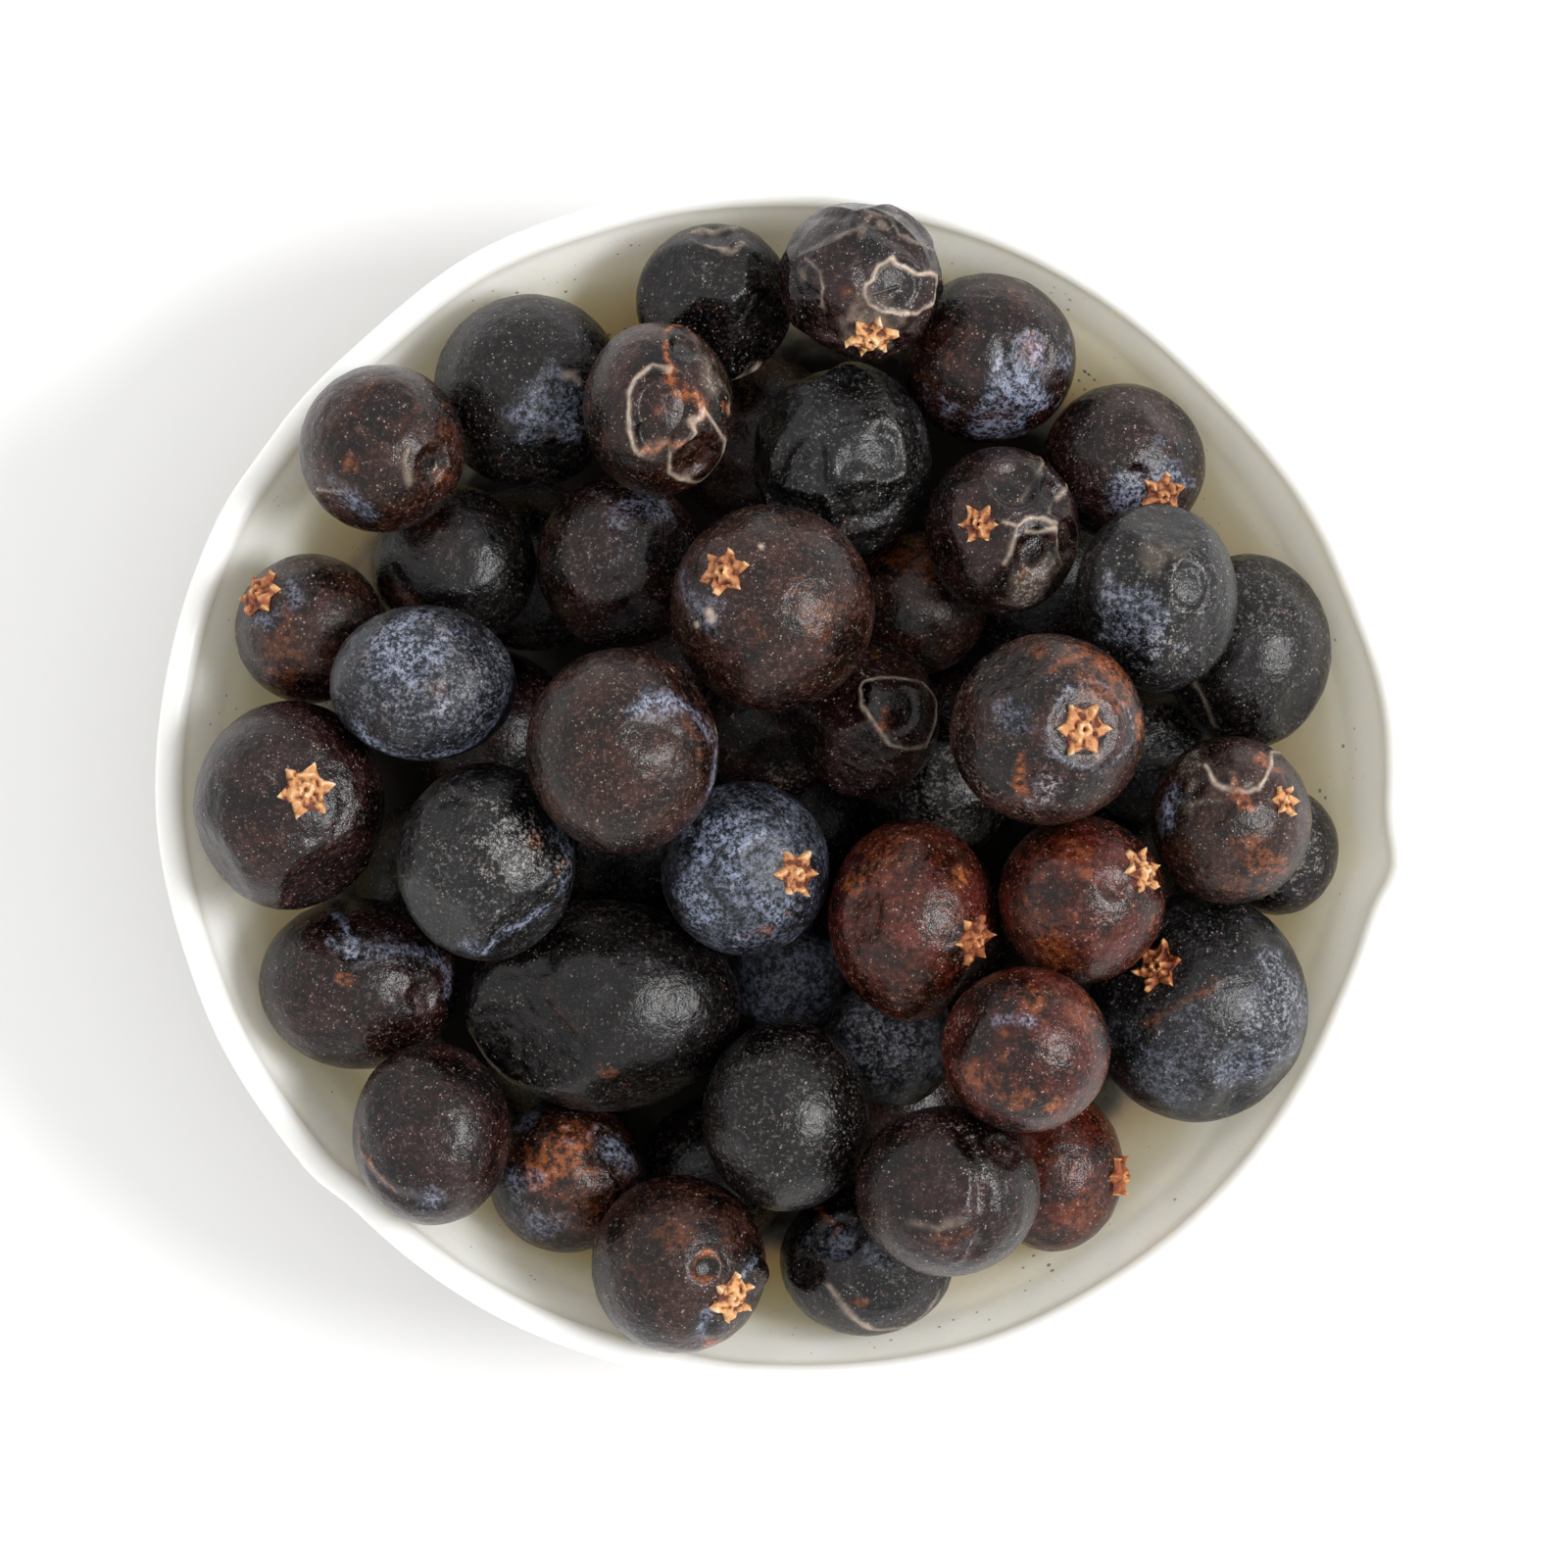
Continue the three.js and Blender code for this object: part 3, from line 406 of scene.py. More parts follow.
SEEN = [
    Berry(11, (7.5, 8.8, 7.4), BLACK, [dent(60, -60, 0.4, 0.06, 0.6), dent(-55, -50, 0.4, 0.04),
        flat(60, 70, 0.95), patch(67, -52, 0.2, dark=0.6), patch(20, 60, 0.9, frost=0.45),
        patch(37, -29, 0.5, frost=0.3),
        ridge([(-67, -29), (-55, -55), (-41, -77)], 0.04, 0.01, pale=0.4)]),
    Berry(12, (7.5, 7.3, 7.0), BLACK, [flat(2, 5, 0.93), crease([-70, -10], [-30, -62], 0.09, 0.03),
        patch(-20, 50, 0.5, rust=0.25), patch(-60, -50, 0.4, rust=0.35), patch(0, 0, 1.6, dark=0.6)]),
    Berry(31, (9.2, 7.8, 7.8), PLUM, [dent(64, -14, 0.26, 0.05), crease([-15, 95], [-6, 22], 0.12, 0.06),
        flat(-35, -50, 0.95), pit(-6, 39, 0.13, 0.03, bloom=0.9, frost=0.8),
        ridge([(-22, 84), (-15, 59), (-6, 50)], 0.05, 0.01, bloom=0.8),
        ridge([(5, 36), (30, 42), (57, 43), (84, 24), (90, -8)], 0.1, 0.004, bloom=0.55),
        ridge([(48, 5), (43, -15), (52, -30), (68, -30)], 0.08, 0.02, frost=0.5),
        patch(-13, 8, 0.1, rust=0.8), patch(-50, -40, 0.8, rust=0.15), patch(0, 0, 1.4, frost=0.2)]),
    Berry(34, (10.0, 10.4, 8.4), SLATE, [dent(-50, 38, 0.55, 0.12, 0.9),
        crease([40, -86], [36, -50], 0.2, 0.16), flat(68, -68, 0.95),
        ridge([(-49, -13), (-26, -3), (-4, 11), (11, 25)], 0.09, 0.01, rust=0.55),
        patch(80, 0, 0.5, frost=0.65, bloom=0.25), patch(49, -54, 0.3, bloom=0.35),
        patch(-24, -59, 0.4, bloom=0.2), patch(40, -10, 0.6, frost=0.35), patch(0, 0, 1.5, frost=0.2)],
        Star(-43, 40, 1.2, 10, 0.1)),
    Berry(3, (7.1, 7.2, 6.9), BLACK, [flat(-62, 10, 0.78), flat(5, 32, 0.84), flat(72, 20, 0.86),
        flat(-10, -55, 0.7), flat(62, -45, 0.72), dent(0, 85, 0.3, 0.1, 0.5),
        ridge([(-28, 86), (-13, 93), (22, 92), (44, 97), (58, 86)], 0.04, 0.02, pale=0.5),
        ridge([(-11, 78), (8, 69), (25, 66), (41, 72)], 0.035, 0.015, pale=0.45),
        ridge([(59, 9), (52, -30), (55, -84)], 0.035, 0.02, frost=0.5), patch(55, -88, 0.1, pale=0.9),
        patch(5, 32, 0.4, frost=0.4)]),
    Berry(2, (8.7, 8.8, 8.0), BLACK, [dent(36, -10, 0.4, 0.05), flat(10, -70, 0.93),
        ridge([(-16, 61), (-5, 44), (6, 32)], 0.035, -0.012, dark=0.8), patch(15, -23, 0.35, bloom=0.45),
        patch(40, -32, 0.25, bloom=0.6), ridge([(36, 16), (54, 10)], 0.035, 0.012, pale=0.7),
        ridge([(15, -55), (35, -50), (54, -40)], 0.05, 0.02, frost=0.5)]),
    Berry(16, (6.8, 6.8, 6.8), BROWN, [patch(-28, -35, 0.4, rust=0.5),
        ridge([(-25, 60), (-20, 35), (-40, 12), (-70, 10)], 0.09, 0.004, bloom=0.5),
        patch(30, 0, 0.9, rust=0.12)], Star(-66, 46, 1.25, 5, 0.15)),
    Berry(38, (7.2, 7.0, 7.0), BROWN, [flat(50, 30, 0.93), patch(-9, 27, 0.5, rust=0.85),
        patch(1, 49, 0.25, rust=0.9), patch(-51, 73, 0.25, bloom=0.6), patch(63, 38, 0.25, bloom=0.55),
        patch(-68, -5, 0.2, bloom=0.5), patch(-34, -68, 0.3, bloom=0.4), patch(20, -40, 0.6, rust=0.4)]),
    Berry(43, (7.9, 6.9, 7.0), BLACK, [dent(-35, 35, 0.4, 0.09, 0.5), dent(15, -20, 0.5, 0.06, 0.4),
        dent(-75, -10, 0.35, 0.08),
        ridge([(-42, -34), (-31, -51), (-23, -69), (-9, -82), (13, -90), (42, -88), (70, -66),
            (83, -40)], 0.035, 0.014, pale=0.6),
        ridge([(-81, 67), (-56, 67), (-37, 45), (-44, 30)], 0.05, 0.012, rust=0.7),
        patch(-34, 23, 0.3, bloom=0.4), patch(7, 12, 0.25, bloom=0.35), patch(-6, -55, 0.12, rust=0.6),
        patch(40, -10, 0.5, frost=0.4)]),
    Berry(42, (6.5, 7.5, 6.8), RED, [patch(0, 0, 1.4, rust=0.2), patch(40, -50, 0.5, rust=0.45)],
        Star(93, -8, 1.1, 0, 0.05)),
    Berry(6, (7.4, 7.2, 7.2), PLUM, [dent(15, -15, 0.16, 0.05), flat(60, 60, 0.92),
        pit(3, -17, 0.1, 0.02, frost=0.7), pit(20, -20, 0.09, 0.02, frost=0.7),
        patch(57, -13, 0.25, bloom=0.7), patch(3, -44, 0.3, bloom=0.6), patch(-82, 56, 0.35, rust=0.35),
        patch(0, 0, 1.4, frost=0.25)], Star(46, -42, 1.15, 20, 0.4)),
    Berry(5, (7.9, 7.7, 7.2), PLUM, [dent(55, 0, 0.36, 0.05, 0.5), crease([14, 10], [16, -28], 0.1, 0.05),
        ridge([(12, 2), (10, -15), (15, -35)], 0.04, 0.012, bloom=0.9, frost=0.8),
        patch(38, -38, 0.38, bloom=0.75), patch(-4, -85, 0.3, bloom=0.6), patch(87, -5, 0.2, bloom=0.5),
        patch(51, 2, 0.15, rust=0.7), ridge([(51, -22), (91, -18)], 0.05, -0.015, dark=0.6),
        patch(-40, -5, 0.35, rust=0.35), patch(25, 75, 0.3, rust=0.3)]),
    Berry(13, (7.6, 7.8, 7.2), PLUM, [dent(-18, 10, 0.6, 0.05, 0.4), flat(70, 10, 0.9),
        patch(35, 65, 0.3, bloom=0.35), patch(-10, 10, 0.8, frost=0.35),
        ridge([(-60, 50), (-68, 10), (-50, -35)], 0.06, 0.008, frost=0.5)]),
    Berry(18, (8.6, 9.4, 8.4), PLUM, [dent(25, 5, 0.6, 0.035, 0.4), flat(45, -75, 0.86),
        flat(-78, -55, 0.93),
        ridge([(79, 5), (82, -11), (62, -32), (36, -44), (22, -43)], 0.07, 0.016, frost=0.35),
        ridge([(85, -61), (45, -80), (28, -95)], 0.06, 0.01, frost=0.3),
        ridge([(-98, -21), (-75, -43), (-50, -82)], 0.05, -0.01, dark=0.3), patch(-32, -37, 0.5, rust=0.2),
        patch(-21, 24, 0.25, frost=0.4)], Star(20, 14, 1.4, 12, 0.7)),
    Berry(32, (12.4, 9.6, 8.4), BLACK, [dent(-10, 14, 0.36, 0.07, 0.5), flat(-60, -25, 0.8),
        crease([-50, 30], [-34, -30], 0.14, 0.1), dent(-72, 8, 0.3, 0.09, 0.5), flat(30, -80, 0.93),
        ridge([(-45, 27), (-43, 11), (-31, -10), (-24, -28)], 0.045, 0.012, rust=0.4),
        ridge([(-53, 27), (-76, 7), (-99, -15)], 0.04, 0.014, frost=0.6),
        ridge([(-59, 21), (-71, 3), (-67, -10)], 0.05, -0.02, dark=0.7),
        ridge([(-99, -20), (-89, -35), (-75, -35), (-71, -56), (-57, -66)], 0.04, 0.014, frost=0.4),
        ridge([(-14, 96), (20, 88), (46, 76)], 0.12, 0, frost=0.5), patch(40, -5, 0.4, frost=0.5),
        patch(4, -65, 0.12, rust=0.6), patch(0, 0, 1.4, dark=0.5),
        ridge([(-31, -95), (14, -100)], 0.05, 0.005, bloom=0.7)]),
    Berry(10, (7.4, 8.5, 7.2), SLATE, [dent(38, 12, 0.3, 0.06, 0.4), flat(-30, 30, 0.86),
        flat(-50, -50, 0.9), flat(50, -60, 0.88), flat(10, 85, 0.86),
        ridge([(14, 20), (24, 38), (42, 42), (60, 35), (69, 18), (66, -5), (52, -17), (28, -14), (16, 0),
            (14, 20)], 0.04, 0.012, frost=0.8), patch(-6, 46, 0.3, pale=0.15, frost=0.5),
        patch(14, -48, 0.35, frost=0.7), patch(-30, -20, 0.4, bloom=0.4), patch(0, 0, 1.4, frost=0.4)]),
    Berry(19, (8.7, 9.2, 8.4), BROWN, [dent(28, 26, 0.4, 0.05, 0.8), flat(80, 50, 0.93),
        ridge([(11, 38), (30, 45), (54, 47), (72, 40), (85, 28), (97, 6),
            (90, -35)], 0.1, 0.006, bloom=0.85), ridge([(60, 30), (77, 11), (82, -5)], 0.05, 0, rust=0.6),
        ridge([(19, 25), (38, 22), (57, 14), (77, -2)], 0.06, -0.015, dark=0.6),
        patch(98, 19, 0.08, pale=0.9), patch(0, 0, 1.4, rust=0.14), patch(0, 0, 1.4, frost=0.25)]),
    Berry(26, (8.1, 9.0, 7.8), SLATE, [dent(-42, 50, 0.38, 0.06, 0.4), dent(-15, -25, 0.5, 0.06, 0.3),
        dent(45, 10, 0.44, 0.06, 0.3), flat(-50, -65, 0.86), flat(50, -72, 0.84), flat(75, 40, 0.88),
        patch(-46, 52, 0.25, dark=0.5), patch(40, 19, 0.6, frost=0.8), patch(62, 24, 0.12, rust=0.6),
        ridge([(90, 30), (95, 10), (88, -20)], 0.1, 0, bloom=0.6),
        ridge([(15, -51), (35, -50), (59, -42)], 0.04, 0.014, frost=0.9),
        ridge([(-19, -90), (15, -82), (49, -70), (74, -51)], 0.1, 0.004, bloom=0.85),
        patch(0, 0, 1.5, frost=0.35)]),
    Berry(27, (7.6, 7.9, 7.4), BLUE, [crease([-65, 42], [-10, -12], 0.12, 0.05),
        crease([-10, -12], [10, -60], 0.12, 0.05), dent(25, 10, 0.35, 0.04, 0.5),
        patch(-35, 40, 0.42, bloom=0.95), patch(-51, -39, 0.35, bloom=0.8),
        ridge([(21, 40), (-25, 8), (15, -33), (41, -61)], 0.1, 0.006, bloom=0.85),
        ridge([(-68, 24), (-25, -36), (1, -71)], 0.07, -0.015, dark=0.75),
        pit(52, -36, 0.13, -0.03, bloom=0.7), patch(52, -52, 0.08, rust=0.8),
        patch(28, -71, 0.12, rust=0.7), patch(77, 40, 0.25, dark=0.6), patch(0, 0, 1.5, bloom=0.3)],
        Star(62, -6, 1.2, 0, 0.6)),
    Berry(8, (8.1, 9.0, 8.2), SLATE, [net(22, 0.075, 8), dent(50, 6, 0.34, 0.08, 0.5), flat(-10, 50, 0.88),
        ridge([(-30, 32), (-52, 4), (-61, -32), (-67, -48)], 0.04, 0.014, frost=0.45),
        ridge([(-61, 68), (-64, 46), (-67, 18), (-76, 7)], 0.04, 0.014, frost=0.45),
        patch(52, 35, 0.2, frost=0.6), ridge([(31, -18), (43, -23), (70, -16)], 0.05, 0.012, frost=0.7),
        pit(9, -68, 0.12, 0.02, rust=0.25), patch(0, 0, 1.4, frost=0.3)]),
    Berry(17, (8.4, 7.0, 7.2), BLUE, [dent(-5, 20, 0.66, 0.05, 0.35), flat(-70, -40, 0.9),
        flat(72, 50, 0.9), patch(-25, 31, 0.5, bloom=0.7, frost=0.6),
        ridge([(-72, -61), (-37, -89), (5, -95), (46, -82), (73, -54),
            (90, -11)], 0.11, 0.006, bloom=0.9, frost=0.5), patch(-63, 31, 0.15, rust=0.4),
        patch(19, -8, 0.2, rust=0.35), patch(0, 0, 1.5, frost=0.5, bloom=0.15)]),
    Berry(1, (7.5, 7.6, 7.4), BROWN, [dent(2, 42, 0.42, 0.05, 0.5), dent(62, -20, 0.26, 0.1, 0.5),
        flat(-50, -72, 0.93),
        ridge([(-25, 72), (10, 82), (35, 70), (40, 40), (25, 15)], 0.06, 0.008, rust=0.45),
        ridge([(32, 0), (30, -19), (38, -43)], 0.045, 0.02, pale=0.35, frost=0.5),
        pit(82, -13, 0.13, -0.02, frost=0.5),
        ridge([(-75, -51), (-62, -54), (-48, -52)], 0.035, 0.01, pale=0.9),
        patch(-38, -62, 0.25, bloom=0.6), patch(-35, -24, 0.15, rust=0.6), patch(72, -36, 0.15, rust=0.5),
        patch(80, 20, 0.3, rust=0.4)]),
    Berry(37, (7.2, 8.3, 7.4), PLUM, [flat(-40, 50, 0.88), flat(5, 5, 0.96),
        crease([-70, -50], [10, -75], 0.12, 0.04),
        ridge([(-12, 66), (-18, 45), (-45, 3), (-59, -15)], 0.05, 0.01, frost=0.3),
        ridge([(-90, 6), (-87, -15), (-73, -31), (-63, -44), (-45, -61)], 0.05, 0.012, rust=0.95),
        patch(3, -67, 0.2, bloom=0.55), patch(-42, -6, 0.2, frost=0.4)]),
    Berry(40, (8.0, 8.1, 7.8), BROWN, [dent(30, -3, 0.2, 0.07, 0.6), bump(93, -10, 0.28, 0.1),
        crease([30, -50], [25, -85], 0.14, 0.04),
        ridge([(46, 1), (41, 13), (30, 17), (19, 12), (14, 1), (20, -12), (30, -16), (42, -11),
            (46, 1)], 0.045, 0.012, rust=0.9), patch(30, -3, 0.1, dark=0.8), patch(99, 5, 0.1, rust=0.9),
        patch(-4, 35, 0.3, rust=0.45), patch(36, -89, 0.12, rust=0.9),
        ridge([(33, -58), (25, -72), (30, -86)], 0.06, 0.006, bloom=0.8),
        ridge([(86, 7), (74, -6)], 0.05, 0.006, bloom=0.7)], Star(62, -36, 1.3, 25, 0.9)),
    Berry(7, (6.8, 7.9, 7.2), BROWN, [dent(8, 0, 0.5, 0.16, 0.3), dent(52, -58, 0.34, 0.1, 0.4),
        dent(36, 70, 0.24, 0.07, 0.5), dent(-2, -32, 0.34, 0.16, 0.3),
        ridge([(14, 44), (-8, 48), (-30, 35), (-39, 16), (-41, -6), (-39, -25), (-34, -42),
            (-23, -53)], 0.028, 0.014, pale=0.7),
        ridge([(-23, -53), (10, -47), (30, -42), (43, -38)], 0.06, 0.014, rust=1.2, pale=0.2),
        ridge([(14, 44), (18, 32), (39, 16), (61, 0)], 0.1, 0.014, rust=1.3),
        ridge([(43, -38), (49, -30), (45, -20), (59, -9), (61, 0)], 0.03, 0.014, pale=0.8, rust=0.8),
        ridge([(61, 0), (76, -25), (87, -47), (80, -69), (61, -79), (32, -80), (18, -72), (14, -60),
            (18, -50)], 0.028, 0.014, pale=0.7),
        ridge([(14, 48), (7, 70), (8, 89), (21, 95), (39, 92), (54, 76)], 0.06, 0.012, rust=1.2),
        patch(72, 26, 0.22, frost=0.7, pale=0.15), patch(87, 3, 0.08, rust=0.9),
        ridge([(-80, 65), (-93, 35), (-90, 0)], 0.05, 0, rust=0.6), patch(3, -3, 0.12, rust=0.5)]),
    Berry(4, (7.4, 7.2, 7.0), PLUM, [net(26, 0.05, 4), dent(45, -12, 0.44, 0.09, 0.3),
        dent(-70, 0, 0.4, 0.06, 0.4),
        ridge([(20, 17), (37, 24), (54, 17), (72, 8), (92, 2), (94, -13), (87, -31), (75, -45), (58, -45),
            (40, -42), (23, -44), (9, -35), (1, -21), (2, -6), (15, -1),
            (20, 17)], 0.03, 0.016, pale=0.95),
        ridge([(-70, 27), (-53, 11), (-48, -13), (-51, -35)], 0.03, 0.012, pale=0.55),
        ridge([(-11, 93), (8, 82), (37, 75), (51, 82)], 0.03, 0.012, pale=0.3),
        ridge([(8, 82), (-8, 65), (-25, 54)], 0.03, 0.012, pale=0.3),
        ridge([(37, 75), (46, 57), (61, 52), (89, 36)], 0.03, 0.012, pale=0.3),
        patch(-75, 0, 0.25, dark=0.5), patch(-20, -17, 0.15, rust=0.5),
        patch(12, -70, 0.4, pale=0.3, rust=0.3)], Star(12, -76, 1.25, 10, 0.9)),
    Berry(9, (7.0, 7.6, 7.2), PLUM, [dent(14, 56, 0.38, 0.12, 0.4), dent(70, 42, 0.3, 0.14, 0.4),
        dent(45, -30, 0.36, 0.09, 0.4), dent(86, -10, 0.3, 0.08, 0.4), dent(-32, 6, 0.4, 0.05, 0.5),
        ridge([(1, 8), (19, 3), (37, 13), (51, 14), (65, 3)], 0.03, 0.014, pale=0.7),
        ridge([(19, 3), (10, -20), (1, -43)], 0.03, 0.012, pale=0.5),
        ridge([(30, -4), (62, -2), (72, -17), (78, -40)], 0.03, 0.014, pale=0.7),
        ridge([(51, 91), (44, 72), (26, 39)], 0.03, 0.016, pale=0.35),
        ridge([(86, 58), (75, 40), (62, 19)], 0.03, 0.016, pale=0.6), patch(60, 50, 0.18, dark=0.9),
        patch(37, -69, 0.35, frost=0.8, pale=0.15), patch(26, -56, 0.07, rust=0.9),
        patch(-32, 6, 0.35, rust=0.3)], Star(-32, 6, 0.95, 0, 0.4)),
    Berry(24, (7.3, 7.6, 7.2), BROWN, [dent(-30, 25, 0.4, 0.05, 0.4),
        crease([-75, 10], [25, 35], 0.1, 0.06),
        ridge([(66, 81), (49, 82), (44, 58), (37, 45), (30, 35), (16, 37), (-4, 41), (-21, 45),
            (-35, 61)], 0.028, 0.02, pale=0.95), patch(-52, 74, 0.3, frost=0.9, pale=0.1),
        patch(35, 68, 0.15, rust=0.95),
        ridge([(-62, 12), (-45, 22), (-20, 28)], 0.06, 0.006, frost=0.9, pale=0.2),
        patch(13, 20, 0.12, rust=0.95), patch(34, -50, 0.35, rust=0.6), patch(6, -73, 0.3, rust=0.4),
        ridge([(-83, -7), (-85, 15), (-75, 35)], 0.1, 0, bloom=0.75)], Star(63, 23, 0.75, 0, 0.75)),
    Berry(21, (6.9, 7.2, 7.0), PLUM, [dent(42, 18, 0.46, 0.09, 0.3), flat(-50, 35, 0.74),
        flat(-15, -60, 0.78), flat(25, 80, 0.8), flat(-80, -35, 0.8), dent(55, -62, 0.3, 0.06, 0.5),
        ridge([(3, 51), (24, 59), (50, 61), (78, 47), (95, 23), (93, -12), (82, -33), (60, -39), (39, -36),
            (24, -22), (14, 2), (1, 23), (-1, 44), (3, 51)], 0.03, 0.014, pale=0.75),
        patch(23, -12, 0.14, rust=0.8), patch(35, 89, 0.3, rust=0.3),
        ridge([(-30, -70), (-4, -78), (30, -70), (68, -64)], 0.04, 0.012, frost=0.5)]),
    Berry(28, (7.6, 9.1, 7.8), RED, [dent(-60, 6, 0.36, 0.07, 0.5), bump(-8, -94, 0.5, 0.05),
        flat(80, -60, 0.85), ridge([(-71, 42), (-48, 20), (-52, -7), (-65, -29)], 0.05, 0.01, dark=0.4),
        patch(-75, 34, 0.15, rust=0.9), patch(61, 42, 0.13, rust=0.95), patch(-30, 60, 0.5, rust=0.45),
        patch(30, 1, 0.35, frost=0.35), patch(0, -20, 1.2, rust=0.25)], Star(74, -20, 1.25, 8, 0.15)),
    Berry(29, (7.5, 7.6, 7.4), RED, [dent(-32, 16, 0.34, 0.06, 0.4), dent(38, 18, 0.26, 0.05, 0.8),
        patch(-33, 12, 0.24, dark=0.5),
        ridge([(-70, 20), (-62, -15), (-35, -30), (-5, -20)], 0.06, 0.008, rust=0.7),
        patch(-8, 56, 0.3, rust=0.6), patch(5, 30, 0.18, rust=0.6), patch(-38, -60, 0.4, rust=0.6),
        patch(85, -27, 0.2, rust=0.6), patch(0, 0, 1.5, rust=0.25), patch(25, -20, 0.4, frost=0.45)],
        Star(72, 36, 1.15, 15, 0.85)),
    Berry(22, (8.8, 8.6, 8.2), BROWN, [dent(38, 0, 0.44, 0.05, 0.35), dent(-40, 9, 0.26, 0.09, 0.6),
        dent(-6, -66, 0.34, 0.07, 0.6), flat(-45, 70, 0.88),
        ridge([(14, 30), (22, 42), (39, 48), (62, 42), (79, 25), (87.5, 1), (85, -19), (73, -33),
            (54, -43), (34, -40), (14, -33), (0, -22)], 0.04, 0.008, frost=0.7, bloom=0.35),
        pit(-37, 10, 0.2, 0, bloom=0.35, frost=0.4), patch(-38.5, 4, 0.05, dark=0.9),
        patch(-3, -64, 0.25, frost=0.8, bloom=0.2),
        ridge([(-26, -30), (-31, -48), (-30, -62), (-20, -74)], 0.07, 0.004, rust=0.9),
        patch(62, 62, 0.45, rust=0.8), patch(93, 5, 0.2, rust=0.85), patch(-9, 85, 0.2, rust=0.6),
        ridge([(-85, 50), (-92, 0), (-80, -45), (-60, -70), (-20, -90)], 0.16, 0, frost=0.7),
        patch(-35, 45, 0.5, dark=0.35), patch(0, 0, 1.4, frost=0.25)], Star(37, 0, 1.4, 0, 0.55)),
    Berry(39, (7.6, 8.6, 7.8), BLACK, [flat(-40, 30, 0.93), patch(0, 0, 1.4, frost=0.35),
        patch(35, -15, 0.5, frost=0.4)]),
    Berry(41, (8.4, 7.7, 7.6), PLUM, [dent(-26, 12, 0.56, 0.05, 0.4),
        crease([24, 62], [30, -70], 0.1, 0.07), dent(62, 50, 0.3, 0.06, 0.5),
        ridge([(-67, -7), (-50, -17), (-29, -20), (-10, -17), (7, -7)], 0.05, -0.012, dark=0.5),
        ridge([(-40, -35), (-10, -37), (16, -28)], 0.06, 0.01, pale=0.25), patch(-8, -59, 0.15, rust=0.45),
        ridge([(-53, 77), (-15, 82), (22, 70)], 0.14, 0, frost=0.6),
        ridge([(27, 63), (35, 40), (37, 17), (34, -20), (27, -52), (11, -80)], 0.04, 0.014, frost=0.9)]),
    Berry(35, (7.6, 7.5, 7.2), RED, [dent(-34, 8, 0.42, 0.06, 0.4), flat(-85, 30, 0.9),
        patch(-30, 5, 0.35, dark=0.55), ridge([(-37, 38), (-15, 40), (6, 35)], 0.07, 0.005, bloom=0.5),
        patch(-86, 35, 0.25, frost=0.7), patch(-63, -35, 0.32, rust=0.7), patch(-17, -58, 0.32, rust=0.6),
        patch(32, -65, 0.18, rust=0.95), patch(62, 48, 0.25, rust=0.6), patch(9, 58, 0.3, rust=0.7),
        patch(-27, 22, 0.08, rust=0.9), patch(38, -10, 0.3, frost=0.35)]),
    Berry(14, (9.2, 9.3, 9.0), BROWN, [ridge([(-85, 30), (-78, 5), (-60, -10)], 0.12, 0, bloom=0.4),
        patch(-74, -17, 0.05, pale=0.9), patch(-62, -5, 0.07, pale=0.95), patch(-60, -12, 0.05, pale=0.8),
        patch(-11, 58, 0.04, pale=0.8), patch(-20, -20, 0.2, rust=0.35), patch(45, -10, 0.3, rust=0.45),
        patch(0, 0, 1.5, rust=0.12), patch(0, 0, 1.5, frost=0.2)], Star(-47, 33, 1.2, 15, 0.35)),
]


def chance(seed, draw):
    """A seeded draw between 0 and 1."""
    spread = np.sin(seed * 127.1 + draw * 311.7) * 43758.5453
    return spread - np.floor(spread)


def unit(vectors):
    return vectors / np.linalg.norm(vectors, axis=-1, keepdims=True)


def towards(right, up):
    """The direction of a mark on the upper half of a berry, from its place in hundredths of the radius."""
    right, up = right / 100, up / 100
    return unit(np.array([right, up, np.sqrt(1 - min(np.hypot(right, up), 1) ** 2)]))


def angle_between(directions, middle):
    return np.arccos(np.clip(directions @ middle, -1, 1))


def off_line(directions, line):
    """The angle from each direction to the nearest part of a line that runs straight between its corners."""
    corners = [towards(*corner) for corner in line]
    nearest = np.full(len(directions), np.pi)
    for start, end in zip(corners, corners[1:]):
        along = end - start
        part = np.clip((directions - start) @ along / (along @ along), 0, 1)
        foot = unit(start + part[:, None] * along)
        nearest = np.minimum(nearest, np.arccos(np.clip((directions * foot).sum(axis=1), -1, 1)))
    return nearest


def net_gaps(directions, mark):
    """How much nearer the nearest cell middle is than the next one: nothing on the ridge between two cells.
    The middles lie on a rising spiral, each moved a little by a seeded draw."""
    count, seed = mark["cells"], mark["seed"]
    i = np.arange(count)
    z = 1 - 2 * (i + 0.5) / count
    turn = np.pi * (3 - np.sqrt(5)) * i + 0.9 * chance(seed, i)
    ring = np.sqrt(1 - z * z)
    middles = unit(np.stack([ring * np.cos(turn), ring * np.sin(turn),
                             z + 0.3 * (chance(seed, i + 60) - 0.5)], axis=-1))
    angles = np.sort(np.arccos(np.clip(directions @ middles.T, -1, 1)), axis=1)
    return angles[:, 1] - angles[:, 0]


def sunk(mark, directions):
    """How far a mark sinks the skin in each direction."""
    if mark["kind"] == "dent":
        off = angle_between(directions, towards(*mark["at"])) / mark["width"]
        return mark["depth"] * ease((1 - off) / mark["edge"])
    if mark["kind"] == "crease":
        return mark["depth"] * np.exp(-(off_line(directions, mark["line"]) / mark["width"]) ** 2)
    return mark["depth"] * ease(net_gaps(directions, mark) / NET_RIDGE)


